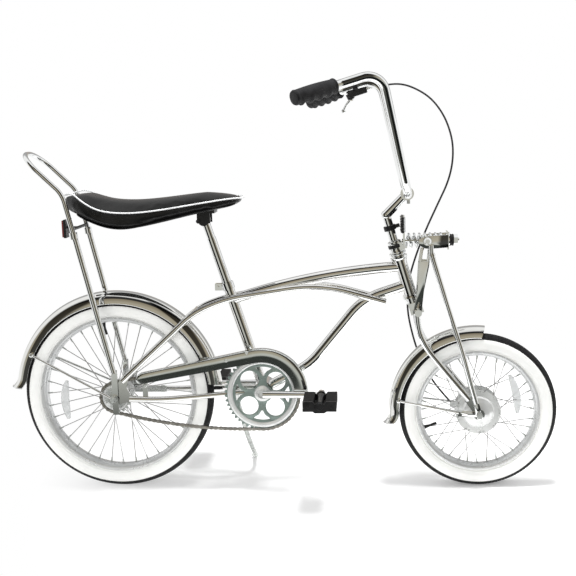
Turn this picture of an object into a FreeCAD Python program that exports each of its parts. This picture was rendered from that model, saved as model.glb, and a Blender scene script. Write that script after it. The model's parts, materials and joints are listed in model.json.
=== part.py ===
"""Chopper bicycle with a springer fork, banana seat and ape-hanger bars.

The bicycle is drawn upright first, in millimetres, with the rear axle at the origin,
+X forward, +Y to the rider's left and +Z up. Everything ahead of the head tube is drawn
in steering coordinates: ahead of the steering axis, to the left, and up along it from
the head tube's lower end. Each finished piece then gets one placement that leans the
bicycle onto its side stand and puts the ground at Z = 0.
"""
import FreeCAD, Part
import math
import os

import Sketcher
from FreeCAD import Placement, Rotation, Vector

# Driving sizes
# name, value in millimetres, degrees or a plain count
SIZES = (
    # wheels
    ("rear_wheel_radius", 255), ("rear_tyre_round", 26), ("rear_rim_seat", 203),
    ("front_wheel_radius", 203.5), ("front_tyre_round", 23.5), ("front_rim_seat", 152.5),
    ("wheelbase", 947.5), ("spoke_count", 36), ("spoke_radius", 1.1),
    ("rim_half_width", 18.5), ("rim_depth", 12), ("rim_wall", 3),
    ("rear_flange_radius", 33), ("rear_flange_place", 30), ("rear_shell_radius", 22),
    ("front_flange_radius", 58), ("front_flange_place", 24), ("front_drum_radius", 42),
    ("axle_radius", 4.76), ("axle_clearance", 0.06),
    # lean and stand
    ("lean_angle", 5), ("stand_foot_out", 172), ("stand_foot_ahead", 338),
    ("stand_leg_radius", 6.5), ("stand_foot_radius", 9), ("stand_axis_turn", 10),
    ("stand_axis_rise", 42),
    # frame
    ("bracket_ahead", 389), ("bracket_rise", 8), ("bracket_shell_radius", 27.5),
    ("bracket_half_width", 34), ("seat_tube_lean", 17.3), ("seat_tube_length", 298),
    ("main_tube_radius", 14.3), ("seat_tube_wall", 1.5), ("twin_tube_radius", 8),
    ("chain_stay_radius", 7.5), ("top_tube_camber", 15), ("top_tube_on_seat_tube", 252),
    ("knee_ahead", 655), ("knee_rise", 245), ("hip_ahead", 515), ("hip_rise", 75),
    ("dropout_inner", 57.5), ("dropout_thickness", 5),
    # steering
    ("head_lean", 16.2), ("head_length", 108), ("head_radius", 17), ("head_bore", 14),
    ("fork_length", 336), ("fork_rake", 79), ("steerer_radius", 12.7),
    ("fork_leg_radius", 8), ("fork_leg_place", 48), ("truss_radius", 5),
    ("quill_radius", 11.1), ("bar_radius", 11.1), ("bar_clamp_ahead", 67), ("bar_clamp_up", 260),
    ("bar_rise", 562), ("bar_top_ahead", 88), ("bar_top_out", 215), ("bar_knee_out", 238),
    ("bar_end_out", 315), ("bar_end_ahead", -112), ("grip_radius", 16), ("grip_length", 120),
    # drive
    ("ring_teeth", 48), ("cog_teeth", 20), ("chain_pitch", 12.7), ("chain_line", 45),
    ("tooth_thickness", 2.3), ("crank_length", 155), ("crank_arm_out", 76),
    ("guard_disc_radius", 86), ("guard_plane", 57),
    # seat
    ("post_radius", 12.6), ("post_neck_radius", 11.1), ("post_top", 484), ("seat_gap", 0.3),
    # fenders
    ("rear_fender_radius", 278), ("front_fender_radius", 227), ("rear_fender_half_width", 30),
    ("front_fender_half_width", 27), ("fender_wall", 1.4),
    # sissy bar
    ("hoop_radius", 6.5), ("strut_radius", 8), ("sissy_half_width", 68), ("hoop_rise", 640),
    ("hoop_back", 209), ("hoop_bend_rise", 538), ("hoop_bend_back", 105),
)

doc = FreeCAD.newDocument("chopper_bicycle")
sheet = doc.addObject("Spreadsheet::Sheet", "sizes")
for row, (alias, value) in enumerate(SIZES, start=1):
    sheet.set(f"A{row}", alias)
    sheet.set(f"B{row}", str(value))
    sheet.setAlias(f"B{row}", alias)
doc.recompute()


class Dim:
    """A size with its number and the sheet expression that it comes from."""

    def __init__(self, value, text):
        self.value = float(value)
        self.text = text

    def __float__(self):
        return self.value

    def __add__(self, other):
        other = as_dim(other)
        return Dim(self.value + other.value, f"({self.text} + {other.text})")

    __radd__ = __add__

    def __sub__(self, other):
        other = as_dim(other)
        return Dim(self.value - other.value, f"({self.text} - {other.text})")

    def __rsub__(self, other):
        return as_dim(other) - self

    def __mul__(self, other):
        other = as_dim(other)
        return Dim(self.value * other.value, f"({self.text} * {other.text})")

    __rmul__ = __mul__

    def __truediv__(self, other):
        other = as_dim(other)
        return Dim(self.value / other.value, f"({self.text} / {other.text})")

    def __neg__(self):
        return Dim(-self.value, f"(0 - {self.text})")


def as_dim(number):
    """Wrap a plain number, or pass a Dim through."""
    if isinstance(number, Dim):
        return number
    return Dim(number, repr(float(number)))


class Sizes:
    """The sheet's values by name."""


size = Sizes()
for alias, value in SIZES:
    setattr(size, alias, Dim(value, f"sizes.{alias}"))


def bind(target, prop, dim):
    """Set a property and tie it to the sheet."""
    dim = as_dim(dim)
    setattr(target, prop, dim.value)
    if "sizes." in dim.text:
        target.setExpression(prop, dim.text)


def vec(x, y, z):
    """A point from numbers or Dims."""
    return Vector(float(x), float(y), float(z))


# Reference points
X_AXIS = Vector(1, 0, 0)
Y_AXIS = Vector(0, 1, 0)
Z_AXIS = Vector(0, 0, 1)
GROUND = -float(size.rear_wheel_radius)
head_tilt = math.radians(float(size.head_lean))
STEER_UP = Vector(-math.sin(head_tilt), 0, math.cos(head_tilt))
STEER_AHEAD = Vector(math.cos(head_tilt), 0, math.sin(head_tilt))
FRONT_AXLE = vec(size.wheelbase, 0, size.front_wheel_radius - size.rear_wheel_radius)
HEAD_FOOT = FRONT_AXLE + STEER_UP * float(size.fork_length) - STEER_AHEAD * float(size.fork_rake)
BRACKET = vec(size.bracket_ahead, 0, size.bracket_rise)
seat_tilt = math.radians(float(size.seat_tube_lean))
SEAT_UP = Vector(-math.sin(seat_tilt), 0, math.cos(seat_tilt))


def steer(ahead, out, up):
    """A point in steering coordinates."""
    return HEAD_FOOT + STEER_AHEAD * float(ahead) + Y_AXIS * float(out) + STEER_UP * float(up)


def on_seat_tube(along, out=0.0):
    """A point on the seat tube's axis, measured from the bottom bracket."""
    return BRACKET + SEAT_UP * float(along) + Y_AXIS * float(out)


def aim(start, end):
    """A placement at start whose Z looks at end."""
    return Placement(start, Rotation(Z_AXIS, end - start))


def mirrored(points):
    """The same points on the other side of the bicycle."""
    return [Vector(point.x, -point.y, point.z) for point in points]


# Solid helpers
finished = []
serial = [0]


def fresh(prefix):
    """A name for a helper object."""
    serial[0] += 1
    return f"{prefix}_{serial[0]}"


def piece(shape_object, label):
    """Register a finished sub-part under its node name."""
    shape_object.Label = label
    finished.append(shape_object)
    return shape_object


def bar(start, end, radius, prefix="bar"):
    """A round bar between two points."""
    solid = doc.addObject("Part::Cylinder", fresh(prefix))
    bind(solid, "Radius", radius)
    solid.Height = (end - start).Length
    solid.Placement = aim(start, end)
    return solid


def block(centre, length, width, height, turn=None, prefix="block"):
    """A box by its centre, with an optional rotation."""
    solid = doc.addObject("Part::Box", fresh(prefix))
    bind(solid, "Length", length)
    bind(solid, "Width", width)
    bind(solid, "Height", height)
    turn = turn or Rotation()
    half = Vector(float(as_dim(length)) / 2, float(as_dim(width)) / 2, float(as_dim(height)) / 2)
    solid.Placement = Placement(centre - turn.multVec(half), turn)
    return solid


def ball(centre, radius, prefix="ball"):
    """A sphere."""
    solid = doc.addObject("Part::Sphere", fresh(prefix))
    bind(solid, "Radius", radius)
    solid.Placement = Placement(centre, Rotation())
    return solid


def cone(start, end, radius_start, radius_end, prefix="cone"):
    """A tapered bar between two points."""
    solid = doc.addObject("Part::Cone", fresh(prefix))
    bind(solid, "Radius1", radius_start)
    bind(solid, "Radius2", radius_end)
    solid.Height = (end - start).Length
    solid.Placement = aim(start, end)
    return solid


def hexagon(centre, axis, across, thick, prefix="nut"):
    """A hexagonal nut whose first face lies at centre."""
    solid = doc.addObject("Part::Prism", fresh(prefix))
    solid.Polygon = 6
    bind(solid, "Circumradius", as_dim(across) / math.sqrt(3))
    bind(solid, "Height", thick)
    solid.Placement = Placement(centre, Rotation(Z_AXIS, axis))
    return solid


def fuse(parts, prefix="joined"):
    """Join solids."""
    joined = doc.addObject("Part::MultiFuse", fresh(prefix))
    joined.Shapes = parts
    return joined


def group(parts, prefix="set"):
    """Keep several separate solids in one node."""
    together = doc.addObject("Part::Compound", fresh(prefix))
    together.Links = parts
    return together


def cut(base, tools, prefix="cut"):
    """Take the tools away from the base."""
    result = base
    for tool in tools:
        step = doc.addObject("Part::Cut", fresh(prefix))
        step.Base = result
        step.Tool = tool
        result = step
    return result


def mirror(solid, prefix="mirror"):
    """The same solid on the other side of the bicycle."""
    twin_side = doc.addObject("Part::Mirroring", fresh(prefix))
    twin_side.Source = solid
    twin_side.Base = Vector()
    twin_side.Normal = Y_AXIS
    return twin_side


def route(points, radii=None):
    """Straight runs joined by tangent arcs. Without radii each arc is as large as its runs allow."""
    edges = []
    start = points[0]
    for index in range(1, len(points) - 1):
        before = points[index - 1] - points[index]
        after = points[index + 1] - points[index]
        turn = math.pi - before.getAngle(after)
        shorter = min(before.Length, after.Length)
        reach = 0.45 * shorter
        if radii is not None:
            reach = min(radii[index - 1] * math.tan(turn / 2), 0.48 * shorter)
        before.normalize()
        after.normalize()
        first = points[index] + before * reach
        last = points[index] + after * reach
        bend = reach / math.tan(turn / 2)
        inward = before + after
        inward.normalize()
        middle = points[index] + inward * (bend / math.cos(turn / 2) - bend)
        edges.append(Part.LineSegment(start, first).toShape())
        edges.append(Part.Arc(first, middle, last).toShape())
        start = last
    edges.append(Part.LineSegment(start, points[-1]).toShape())
    return Part.Wire(edges)


def tube(points, radius, radii=None, prefix="tube"):
    """A round tube swept along a route."""
    wire = route(points, radii)
    spine = doc.addObject("Part::Feature", fresh("path"))
    spine.Shape = wire
    ring = doc.addObject("Part::Circle", fresh("ring"))
    bind(ring, "Radius", radius)
    ring.Placement = aim(points[0], points[1])
    swept = doc.addObject("Part::Sweep", fresh(prefix))
    swept.Sections = [ring]
    swept.Spine = (spine, [f"Edge{number}" for number in range(1, len(wire.Edges) + 1)])
    swept.Solid = True
    swept.Frenet = False
    return swept


def plane_of(body, role):
    """One of the body's own origin planes."""
    return next(item for item in body.Origin.OriginFeatures if item.Role == role)


def sketch_on(body, role, prefix="sketch"):
    """A sketch on one of the body's origin planes."""
    sketch = body.newObject("Sketcher::SketchObject", fresh(prefix))
    sketch.AttachmentSupport = [(plane_of(body, role), "")]
    sketch.MapMode = "FlatFace"
    return sketch


def add_polygon(sketch, points):
    """A closed polygon whose corners are held by driven distances from the sketch origin."""
    count = len(points)
    first = sketch.GeometryCount
    for index in range(count):
        here = points[index]
        there = points[(index + 1) % count]
        sketch.addGeometry(
            Part.LineSegment(vec(here[0], here[1], 0), vec(there[0], there[1], 0)), False
        )
    for index in range(count):
        sketch.addConstraint(
            Sketcher.Constraint("Coincident", first + index, 2, first + (index + 1) % count, 1)
        )
    for index, corner in enumerate(points):
        for kind, value in (("DistanceX", corner[0]), ("DistanceY", corner[1])):
            dim = as_dim(value)
            number = sketch.addConstraint(
                Sketcher.Constraint(kind, -1, 1, first + index, 1, dim.value)
            )
            if "sizes." in dim.text:
                sketch.setExpression(f"Constraints[{number}]", dim.text)


def add_circle(sketch, x, y, radius):
    """A circle held by its centre and radius."""
    number = sketch.addGeometry(Part.Circle(vec(x, y, 0), Z_AXIS, float(as_dim(radius))), False)
    for kind, value in (("DistanceX", x), ("DistanceY", y)):
        dim = as_dim(value)
        place = sketch.addConstraint(Sketcher.Constraint(kind, -1, 1, number, 3, dim.value))
        if "sizes." in dim.text:
            sketch.setExpression(f"Constraints[{place}]", dim.text)
    dim = as_dim(radius)
    held = sketch.addConstraint(Sketcher.Constraint("Radius", number, dim.value))
    if "sizes." in dim.text:
        sketch.setExpression(f"Constraints[{held}]", dim.text)


def turned(points, place, angle=360.0, prefix="turned"):
    """A body turned about its own Y from corners of (radius, across)."""
    body = doc.addObject("PartDesign::Body", fresh(prefix))
    sketch = sketch_on(body, "XY_Plane")
    add_polygon(sketch, points)
    turn = body.newObject("PartDesign::Revolution", fresh("revolve"))
    turn.Profile = sketch
    turn.ReferenceAxis = (sketch, ["V_Axis"])
    turn.Angle = float(angle)
    turn.Midplane = True
    body.Tip = turn
    body.Placement = place
    return body


def plate(points, thickness, place, holes=(), prefix="plate"):
    """A body padded both ways from its XZ plane, with round holes of (x, z, radius)."""
    body = doc.addObject("PartDesign::Body", fresh(prefix))
    sketch = sketch_on(body, "XZ_Plane")
    add_polygon(sketch, points)
    for x, z, radius in holes:
        add_circle(sketch, x, z, radius)
    pad = body.newObject("PartDesign::Pad", fresh("pad"))
    pad.Profile = sketch
    pad.Midplane = True
    bind(pad, "Length", thickness)
    body.Tip = pad
    body.Placement = place
    return body


def at(point, turn=None):
    """A placement at a point."""
    return Placement(point, turn or Rotation())


def polar(radius, degrees):
    """A point of a circle in the XZ plane."""
    return (
        float(radius) * math.cos(math.radians(degrees)),
        float(radius) * math.sin(math.radians(degrees)),
    )


# Wheels
def make_tyre(label, centre, radius, tyre_round, seat):
    """A tyre: a round casing that narrows to its beads between the rim's flanges."""
    section = radius - tyre_round
    shoulder = 9.0
    bead = size.rim_half_width - size.rim_wall - 0.5
    start = math.degrees(math.acos((float(seat) + shoulder - float(section)) / float(tyre_round)))
    side = [(seat, bead), (seat + 6.4, bead)]
    steps = 9
    arc = []
    for index in range(2 * steps + 1):
        angle = math.radians(start - start * index / steps)
        arc.append((section + tyre_round * math.cos(angle), tyre_round * math.sin(angle)))
    other = [(seat + 6.4, -bead), (seat, -bead)]
    return piece(turned(side + arc + other, at(centre), prefix="tyre"), label)


def make_rim(label, centre, seat):
    """A hooked channel rim with its drop centre."""
    wide = size.rim_half_width
    lip = wide - size.rim_wall
    outer = seat + 6
    inner = seat - size.rim_depth
    points = [
        (outer, wide), (outer, lip), (seat, lip), (seat, wide * 0.55), (seat - 5, wide * 0.4),
        (seat - 5, wide * -0.4), (seat, wide * -0.55), (seat, -lip), (outer, -lip),
        (outer, -wide), (seat - 2, -wide), (inner, wide * -0.5), (inner, wide * 0.5),
        (seat - 2, wide),
    ]
    return piece(turned(points, at(centre), prefix="rim"), label)


FLANGE_HALF = 1.5


def make_spokes(label, centre, flange_radius, flange_place, seat):
    """Crossed wire spokes, half on each flange."""
    count = int(float(size.spoke_count))
    wires = []
    hole = float(flange_radius) - 3.5
    nipple = float(seat) - float(size.rim_depth) - 1.1
    for index in range(count):
        side = 1 if index % 2 == 0 else -1
        lead = 1 if (index // 2) % 2 == 0 else -1
        rim_angle = 360.0 * index / count
        hub_angle = rim_angle + lead * 360.0 / count * 2.6
        x_hub, z_hub = polar(hole, hub_angle)
        x_rim, z_rim = polar(nipple + 0.5, rim_angle)
        offset = float(flange_place) + lead * (FLANGE_HALF + float(size.spoke_radius) + 1.4)
        start = centre + Vector(x_hub, side * offset, z_hub)
        end = centre + Vector(x_rim, side * 2.0, z_rim)
        wires.append(bar(start, end, size.spoke_radius, "spoke"))
    return piece(group(wires, "spokes"), label)


REAR_AXLE = Vector(0, 0, 0)
make_tyre("rear_tyre", REAR_AXLE, size.rear_wheel_radius, size.rear_tyre_round, size.rear_rim_seat)
make_rim("rear_rim", REAR_AXLE, size.rear_rim_seat)
make_spokes("rear_spokes", REAR_AXLE, size.rear_flange_radius, size.rear_flange_place,
            size.rear_rim_seat)
make_tyre("front_tyre", FRONT_AXLE, size.front_wheel_radius, size.front_tyre_round,
          size.front_rim_seat)
make_rim("front_rim", FRONT_AXLE, size.front_rim_seat)
make_spokes("front_spokes", FRONT_AXLE, size.front_flange_radius, size.front_flange_place,
            size.front_rim_seat)

bore = size.axle_radius + size.axle_clearance
flange = size.rear_flange_place
shell = size.rear_shell_radius
piece(turned([
    (bore, 43), (bore, -37), (14, -37), (17, -34), (shell, -flange - 1.5),
    (size.rear_flange_radius, -flange - 1.5), (size.rear_flange_radius, -flange + 1.5),
    (shell, -flange + 1.5), (shell - 3, -22), (shell - 3, 22), (shell, flange - 1.5),
    (size.rear_flange_radius, flange - 1.5), (size.rear_flange_radius, flange + 1.5),
    (shell, flange + 1.5), (19, 40), (14, 43),
], at(REAR_AXLE), prefix="hub"), "rear_hub")

drum = size.front_drum_radius
wide = size.front_flange_radius
piece(turned([
    (bore, 30), (bore, -38), (10, -38), (14, -36), (28, -34), (38, -30), (drum, -25.5),
    (wide, -25.5), (wide, -22.5), (drum, -22.5), (drum, 22.5), (wide, 22.5), (wide, 25.5),
    (drum + 3, 25.5), (drum + 3, 30),
], at(FRONT_AXLE), prefix="hub"), "front_hub")

# brake plate on the far side, with the arm that is held to the fork
plate_place = at(FRONT_AXLE)
brake_disc = turned([
    (size.axle_radius + 0.02, 39), (size.axle_radius + 0.02, 30.6), (drum + 2, 30.6),
    (drum + 2, 33), (drum - 6, 36), (12, 36), (12, 39),
], plate_place, prefix="brake")
brake_arm = block(FRONT_AXLE + Vector(-39, 37.5, 3), 58, 3, 14)
piece(fuse([brake_disc, brake_arm], "brake"), "brake_plate")


def make_axle(centre, half_length, shoulders):
    """A threaded axle with its lock nuts and acorn-topped axle nuts."""
    parts = [bar(centre - Y_AXIS * half_length, centre + Y_AXIS * half_length, size.axle_radius)]
    for start, end, radius in shoulders:
        parts.append(bar(centre + Y_AXIS * start, centre + Y_AXIS * end, radius))
    return parts


dropout_in = float(size.dropout_inner)
dropout_out = dropout_in + float(size.dropout_thickness)
nut_start = dropout_out + 6.2
rear_parts = make_axle(REAR_AXLE, nut_start + 18, [
    (-dropout_in, -52.4, 9), (51.4, dropout_in, 9), (43.4, 45.6, 9),
])
rear_parts.append(hexagon(Vector(0, -nut_start - 8, 0), Y_AXIS, 15, 8))
rear_parts.append(hexagon(Vector(0, nut_start, 0), Y_AXIS, 15, 8))
piece(fuse(rear_parts, "axle"), "rear_axle")

# Rear sprocket
pitch = float(size.chain_pitch)


def pitch_radius(teeth):
    """Pitch radius of a sprocket."""
    return pitch / (2 * math.sin(math.pi / float(teeth)))


def toothed_points(teeth, phase=0.0):
    """A sprocket's outline: a root, two flanks and a tip for each tooth."""
    count = int(float(teeth))
    mean = pitch_radius(teeth)
    step = 360.0 / count
    points = []
    for index in range(count):
        middle = phase + step * (index + 0.5)
        for share, offset in ((-0.36, -3.4), (-0.13, 2.6), (0.13, 2.6), (0.36, -3.4)):
            points.append(polar(mean + offset, middle + share * step))
    return points


def toothed_solid(teeth, thickness, place, phase, bore_radius, prefix):
    """A sprocket plate from its outline, set upright in its plane."""
    points = [Vector(x, 0, z) for x, z in toothed_points(teeth, phase)]
    wire = Part.makePolygon(points + points[:1])
    face = Part.Face(wire)
    hub_hole = Part.Face(Part.Wire(Part.makeCircle(bore_radius, Vector(0, 0, 0), Y_AXIS)))
    solid = face.cut(hub_hole).extrude(Vector(0, float(thickness), 0))
    feature = doc.addObject("Part::Feature", fresh(prefix))
    feature.Shape = solid
    feature.Placement = Placement(place.Base - Y_AXIS * (float(thickness) / 2), place.Rotation)
    return feature


line = -float(size.chain_line)
COG = Vector(0, line, 0)
RING = BRACKET + Y_AXIS * line
cog_plate = toothed_solid(size.cog_teeth, size.tooth_thickness, at(COG), 0.0, 17.0, "cog")
driver = turned([
    (bore, -52), (bore, -37.4), (17.6, -37.4), (17.6, line + 4), (22, line + 2), (22, line - 1),
    (34, line - 2.2), (34, line - 3.6), (19, line - 4.4), (16, -52),
], at(REAR_AXLE), prefix="driver")
piece(fuse([cog_plate, driver], "sprocket"), "rear_sprocket")

coaster = fuse([
    bar(Vector(0, 46, 0), Vector(0, 51, 0), 22),
    block(Vector(58, 46.9, -2), 118, 2.4, 16),
    bar(Vector(101, 56.4, -3.9), Vector(110, 55.9, -4.3), size.chain_stay_radius + 2),
])
coaster_cut = [bar(Vector(0, 40, 0), Vector(0, 60, 0), size.axle_radius + 0.02)]


# Crank
ring_mean = pitch_radius(size.ring_teeth)
ring_face = toothed_solid(size.ring_teeth, size.tooth_thickness, at(RING), 0.0, 12.0, "ring")
windows = []
for index in range(4):
    x, z = polar(49, 42 + 90 * index)
    windows.append(bar(RING + Vector(x, -20, z), RING + Vector(x, 20, z), 25.5, "window"))
piece(cut(ring_face, windows), "chainring")

cup = size.bracket_half_width
arm_out = float(size.crank_arm_out)
reach = float(size.crank_length)
spindle_end = 58.0
right_root = BRACKET - Y_AXIS * spindle_end
right_tip = BRACKET + Vector(reach, -arm_out, 3)
left_root = BRACKET + Y_AXIS * spindle_end
left_tip = BRACKET + Vector(-reach, arm_out, -3)
crank_parts = [
    bar(right_root, left_root, 11),
    ball(right_root, 11), ball(left_root, 11),
    cone(right_root, right_tip, 10.5, 7.5), cone(left_root, left_tip, 10.5, 7.5),
    bar(right_tip - Y_AXIS * 7, right_tip + Y_AXIS * 7, 12.5),
    bar(left_tip - Y_AXIS * 7, left_tip + Y_AXIS * 7, 12.5),
    bar(RING + Y_AXIS * 6.0, RING + Y_AXIS * 1.2, 22),
]
crank_holes = [
    bar(right_tip - Y_AXIS * 9, right_tip + Y_AXIS * 9, 6.06),
    bar(left_tip - Y_AXIS * 9, left_tip + Y_AXIS * 9, 6.06),
]
piece(cut(fuse(crank_parts, "crank"), crank_holes), "crank")


def make_pedal(label, tip, side):
    """A rubber block pedal on its spindle, between two end plates."""
    parts = [
        bar(tip - Y_AXIS * side * 6.5, tip + Y_AXIS * side * 110, 6),
        block(tip + Vector(26, side * 62, 0), 26, 91, 25),
        block(tip + Vector(-26, side * 62, 0), 26, 91, 25),
        block(tip + Vector(0, side * 16, 0), 78, 3, 24),
        block(tip + Vector(0, side * 108, 0), 78, 3, 24),
        bar(tip + Y_AXIS * side * 10, tip + Y_AXIS * side * 108, 11),
    ]
    return piece(fuse(parts, "pedal"), label)


make_pedal("pedal_right", right_tip, -1)
make_pedal("pedal_left", left_tip, 1)

# Chain
cog_mean = pitch_radius(size.cog_teeth)
span = (BRACKET - REAR_AXLE).Length
slope = math.atan2(BRACKET.z, BRACKET.x)
dip = math.asin((ring_mean - cog_mean) / span)
sag = 14.0


def chain_line_points():
    """The chain's pin centres as (x, z), evenly spaced round both sprockets."""
    top = slope + math.pi / 2 + dip
    bottom = slope - math.pi / 2 - dip
    dense = []
    steps = 60
    for index in range(steps + 1):
        angle = bottom + (top - bottom) * index / steps
        dense.append((BRACKET.x + ring_mean * math.cos(angle), BRACKET.z + ring_mean * math.sin(angle)))
    turn = 2 * math.pi - (top - bottom)
    for index in range(steps + 1):
        angle = top + turn * index / steps
        dense.append((cog_mean * math.cos(angle), cog_mean * math.sin(angle)))
    last = dense[-1]
    first = dense[0]
    for index in range(1, steps):
        share = index / steps
        drop = 4 * sag * share * (1 - share)
        dense.append((last[0] + (first[0] - last[0]) * share,
                      last[1] + (first[1] - last[1]) * share - drop))
    dense.append(first)
    lengths = [0.0]
    for index in range(1, len(dense)):
        lengths.append(lengths[-1] + math.dist(dense[index], dense[index - 1]))
    links = 2 * round(lengths[-1] / pitch / 2)
    spaced = []
    cursor = 0
    for number in range(2 * links):
        target = lengths[-1] * number / (2 * links)
        while lengths[cursor + 1] < target:
            cursor += 1
        share = (target - lengths[cursor]) / (lengths[cursor + 1] - lengths[cursor])
        spaced.append((
            dense[cursor][0] + (dense[cursor + 1][0] - dense[cursor][0]) * share,
            dense[cursor][1] + (dense[cursor + 1][1] - dense[cursor][1]) * share,
        ))
    return spaced


def chain_strip(points, width_pin, width_waist):
    """Outer and inner outlines of the side plates, two points for each link."""
    outer = []
    inner = []
    count = len(points)
    for index, (x, z) in enumerate(points):
        before = points[index - 1]
        after = points[(index + 1) % count]
        along = Vector(after[0] - before[0], 0, after[1] - before[1])
        along.normalize()
        side = Vector(along.z, 0, -along.x)
        width = width_pin if index % 2 == 0 else width_waist
        outer.append(Vector(x, 0, z) + side * width)
        inner.append(Vector(x, 0, z) - side * width)
    return outer, inner


pins = chain_line_points()
outer, inner = chain_strip(pins, 4.2, 3.2)
outer_face = Part.Face(Part.makePolygon(outer + outer[:1]))
inner_face = Part.Face(Part.makePolygon(inner + inner[:1]))
strip_face = outer_face.cut(inner_face)
strip_solids = []
for offset in (1.9, -3.4):
    strip = strip_face.copy()
    strip.translate(Vector(0, line + offset, 0))
    strip_solids.append(strip.extrude(Vector(0, 1.5, 0)))
rollers = []
for x, z in pins[::2]:
    near_cog = math.hypot(x, z) < cog_mean + 5.5
    near_ring = math.hypot(x - BRACKET.x, z - BRACKET.z) < ring_mean + 5.5
    if not near_cog and not near_ring:
        centre = Vector(x, line - 1.9, z)
        pin = Part.makeBox(5.2, 3.8, 5.2, centre - Vector(2.6, 0, 2.6))
        rollers.append(pin)
chain = doc.addObject("Part::Feature", "chain_links")
chain.Shape = Part.makeCompound([strip_solids[0].multiFuse([strip_solids[1]] + rollers)])
piece(chain, "chain")

# Frame
head_top = steer(0, 0, size.head_length)
head_outer = fuse([
    bar(steer(0, 0, 0), head_top, size.head_radius),
    bar(steer(0, 0, 0), steer(0, 0, 10), size.head_radius + 1.5),
    bar(steer(0, 0, float(size.head_length) - 10), head_top, size.head_radius + 1.5),
])
head_hole = bar(steer(0, 0, -20), steer(0, 0, float(size.head_length) + 20), size.head_bore)
piece(cut(head_outer, [head_hole]), "head_tube")

seat_top = on_seat_tube(size.seat_tube_length)
seat_tool = bar(on_seat_tube(0), on_seat_tube(float(size.seat_tube_length) + 20), size.main_tube_radius)
shell_tool = bar(BRACKET - Y_AXIS * 34, BRACKET + Y_AXIS * 34, size.bracket_shell_radius)
post_tool = bar(on_seat_tube(60), on_seat_tube(float(size.seat_tube_length) + 20),
                size.main_tube_radius - size.seat_tube_wall)
piece(cut(bar(on_seat_tube(0), seat_top, size.main_tube_radius), [post_tool, shell_tool]),
      "seat_tube")

top_start = steer(0, 0, 83)
top_end = on_seat_tube(size.top_tube_on_seat_tube)
chord = top_end - top_start
lift = Vector(-chord.z, 0, chord.x)
lift.normalize()
if lift.z < 0:
    lift = lift * -1.0
top_middle = (top_start + top_end) * 0.5 + lift * float(size.top_tube_camber)
top_wire = Part.Wire([Part.Arc(top_start, top_middle, top_end).toShape()])
top_spine = doc.addObject("Part::Feature", "top_tube_path")
top_spine.Shape = top_wire
top_ring = doc.addObject("Part::Circle", "top_tube_ring")
bind(top_ring, "Radius", size.main_tube_radius)
top_ring.Placement = Placement(top_start, Rotation(Z_AXIS, top_wire.Edges[0].tangentAt(
    top_wire.Edges[0].FirstParameter)))
top_sweep = doc.addObject("Part::Sweep", "top_tube_sweep")
top_sweep.Sections = [top_ring]
top_sweep.Spine = (top_spine, ["Edge1"])
top_sweep.Solid = True
piece(cut(top_sweep, [head_outer, seat_tool]), "top_tube")

down_points = [
    steer(0, 0, 34), vec(size.knee_ahead, 0, size.knee_rise), vec(size.hip_ahead, 0, size.hip_rise),
    BRACKET,
]
down_tool = tube(down_points, size.main_tube_radius, [170, 170])
piece(cut(tube(down_points, size.main_tube_radius, [170, 170]), [head_outer, shell_tool]),
      "down_tube")

twin_points = [
    Vector(712, 20, 240), Vector(540, 22.3, 290), Vector(300, 22.3, 255), Vector(215, 37, 223),
    Vector(22, 60, 47),
]
stay_points = [
    Vector(375, 21, 7), Vector(310, 30, 5), Vector(235, 43, 1), Vector(125, 55, -5),
    Vector(40, 60, -1),
]


def dropout(side):
    """A forged rear fork end that joins the stay and the twin tube."""
    thickness = float(size.dropout_thickness)
    place = at(Vector(0, side * (dropout_in + thickness / 2), 0))
    points = [
        (-13, -12), (12, -14), (46, -8), (58, -8), (58, 7), (44, 8), (34, 30), (40, 56), (26, 64),
        (6, 34), (-12, 13), (-16, 0),
    ]
    return plate(points, size.dropout_thickness, place, [(0, 0, size.axle_radius + 0.02)], "dropout")


coaster_cut.append(tube(stay_points, size.chain_stay_radius + 0.02))
piece(cut(coaster, coaster_cut), "coaster_arm")

for side, word in ((-1, "right"), (1, "left")):
    twin = tube(twin_points, size.twin_tube_radius)
    if side < 0:
        twin = mirror(twin)
    fork_end = dropout(side)
    piece(cut(twin, [seat_tool, down_tool, fork_end]), f"cantilever_tube_{word}")
    ends = stay_points if side > 0 else mirrored(stay_points)
    stay = tube(ends, size.chain_stay_radius)
    piece(cut(fuse([stay, dropout(side)]), [shell_tool]), f"chain_stay_{word}")

cups = fuse([
    bar(BRACKET - Y_AXIS * 34, BRACKET + Y_AXIS * 34, size.bracket_shell_radius),
    bar(BRACKET - Y_AXIS * 38, BRACKET + Y_AXIS * 38, 24),
])
piece(cut(cups, [bar(BRACKET - Y_AXIS * 60, BRACKET + Y_AXIS * 60, 11.06)]), "bottom_bracket")

# bridges that tie the stays and carry the fender
stay_bridge = cut(fuse([bar(Vector(300, -26, 4), Vector(300, 26, 4), 6),
                        block(Vector(301, 0, 16), 6, 24, 26)]), [
    tube(stay_points, size.chain_stay_radius), tube(mirrored(stay_points), size.chain_stay_radius),
])
twin_bridge = cut(bar(Vector(212, -37, 221), Vector(212, 37, 221), 5.5), [
    tube(twin_points, size.twin_tube_radius), mirror(tube(twin_points, size.twin_tube_radius)),
])
fender_top = float(size.rear_fender_radius) + 0.05


def bridge_bolt(x, z):
    """A bolt from a bridge straight down to the fender's crown."""
    far = Vector(x, 0, z)
    near = Vector(x, 0, z)
    near.normalize()
    return bar(far, near * fender_top, 4)


piece(group([fuse([stay_bridge, bridge_bolt(300, 26)]), fuse([twin_bridge, bridge_bolt(212, 221)])],
            "bridges"), "frame_bridges")

# Seat post
post_start = on_seat_tube(120)
post_mid = on_seat_tube(float(size.post_top) - 60)
post_end = on_seat_tube(size.post_top)
piece(fuse([bar(post_start, post_mid, size.post_radius),
            bar(post_mid, post_end, size.post_neck_radius)], "post"), "seat_post")

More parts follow.
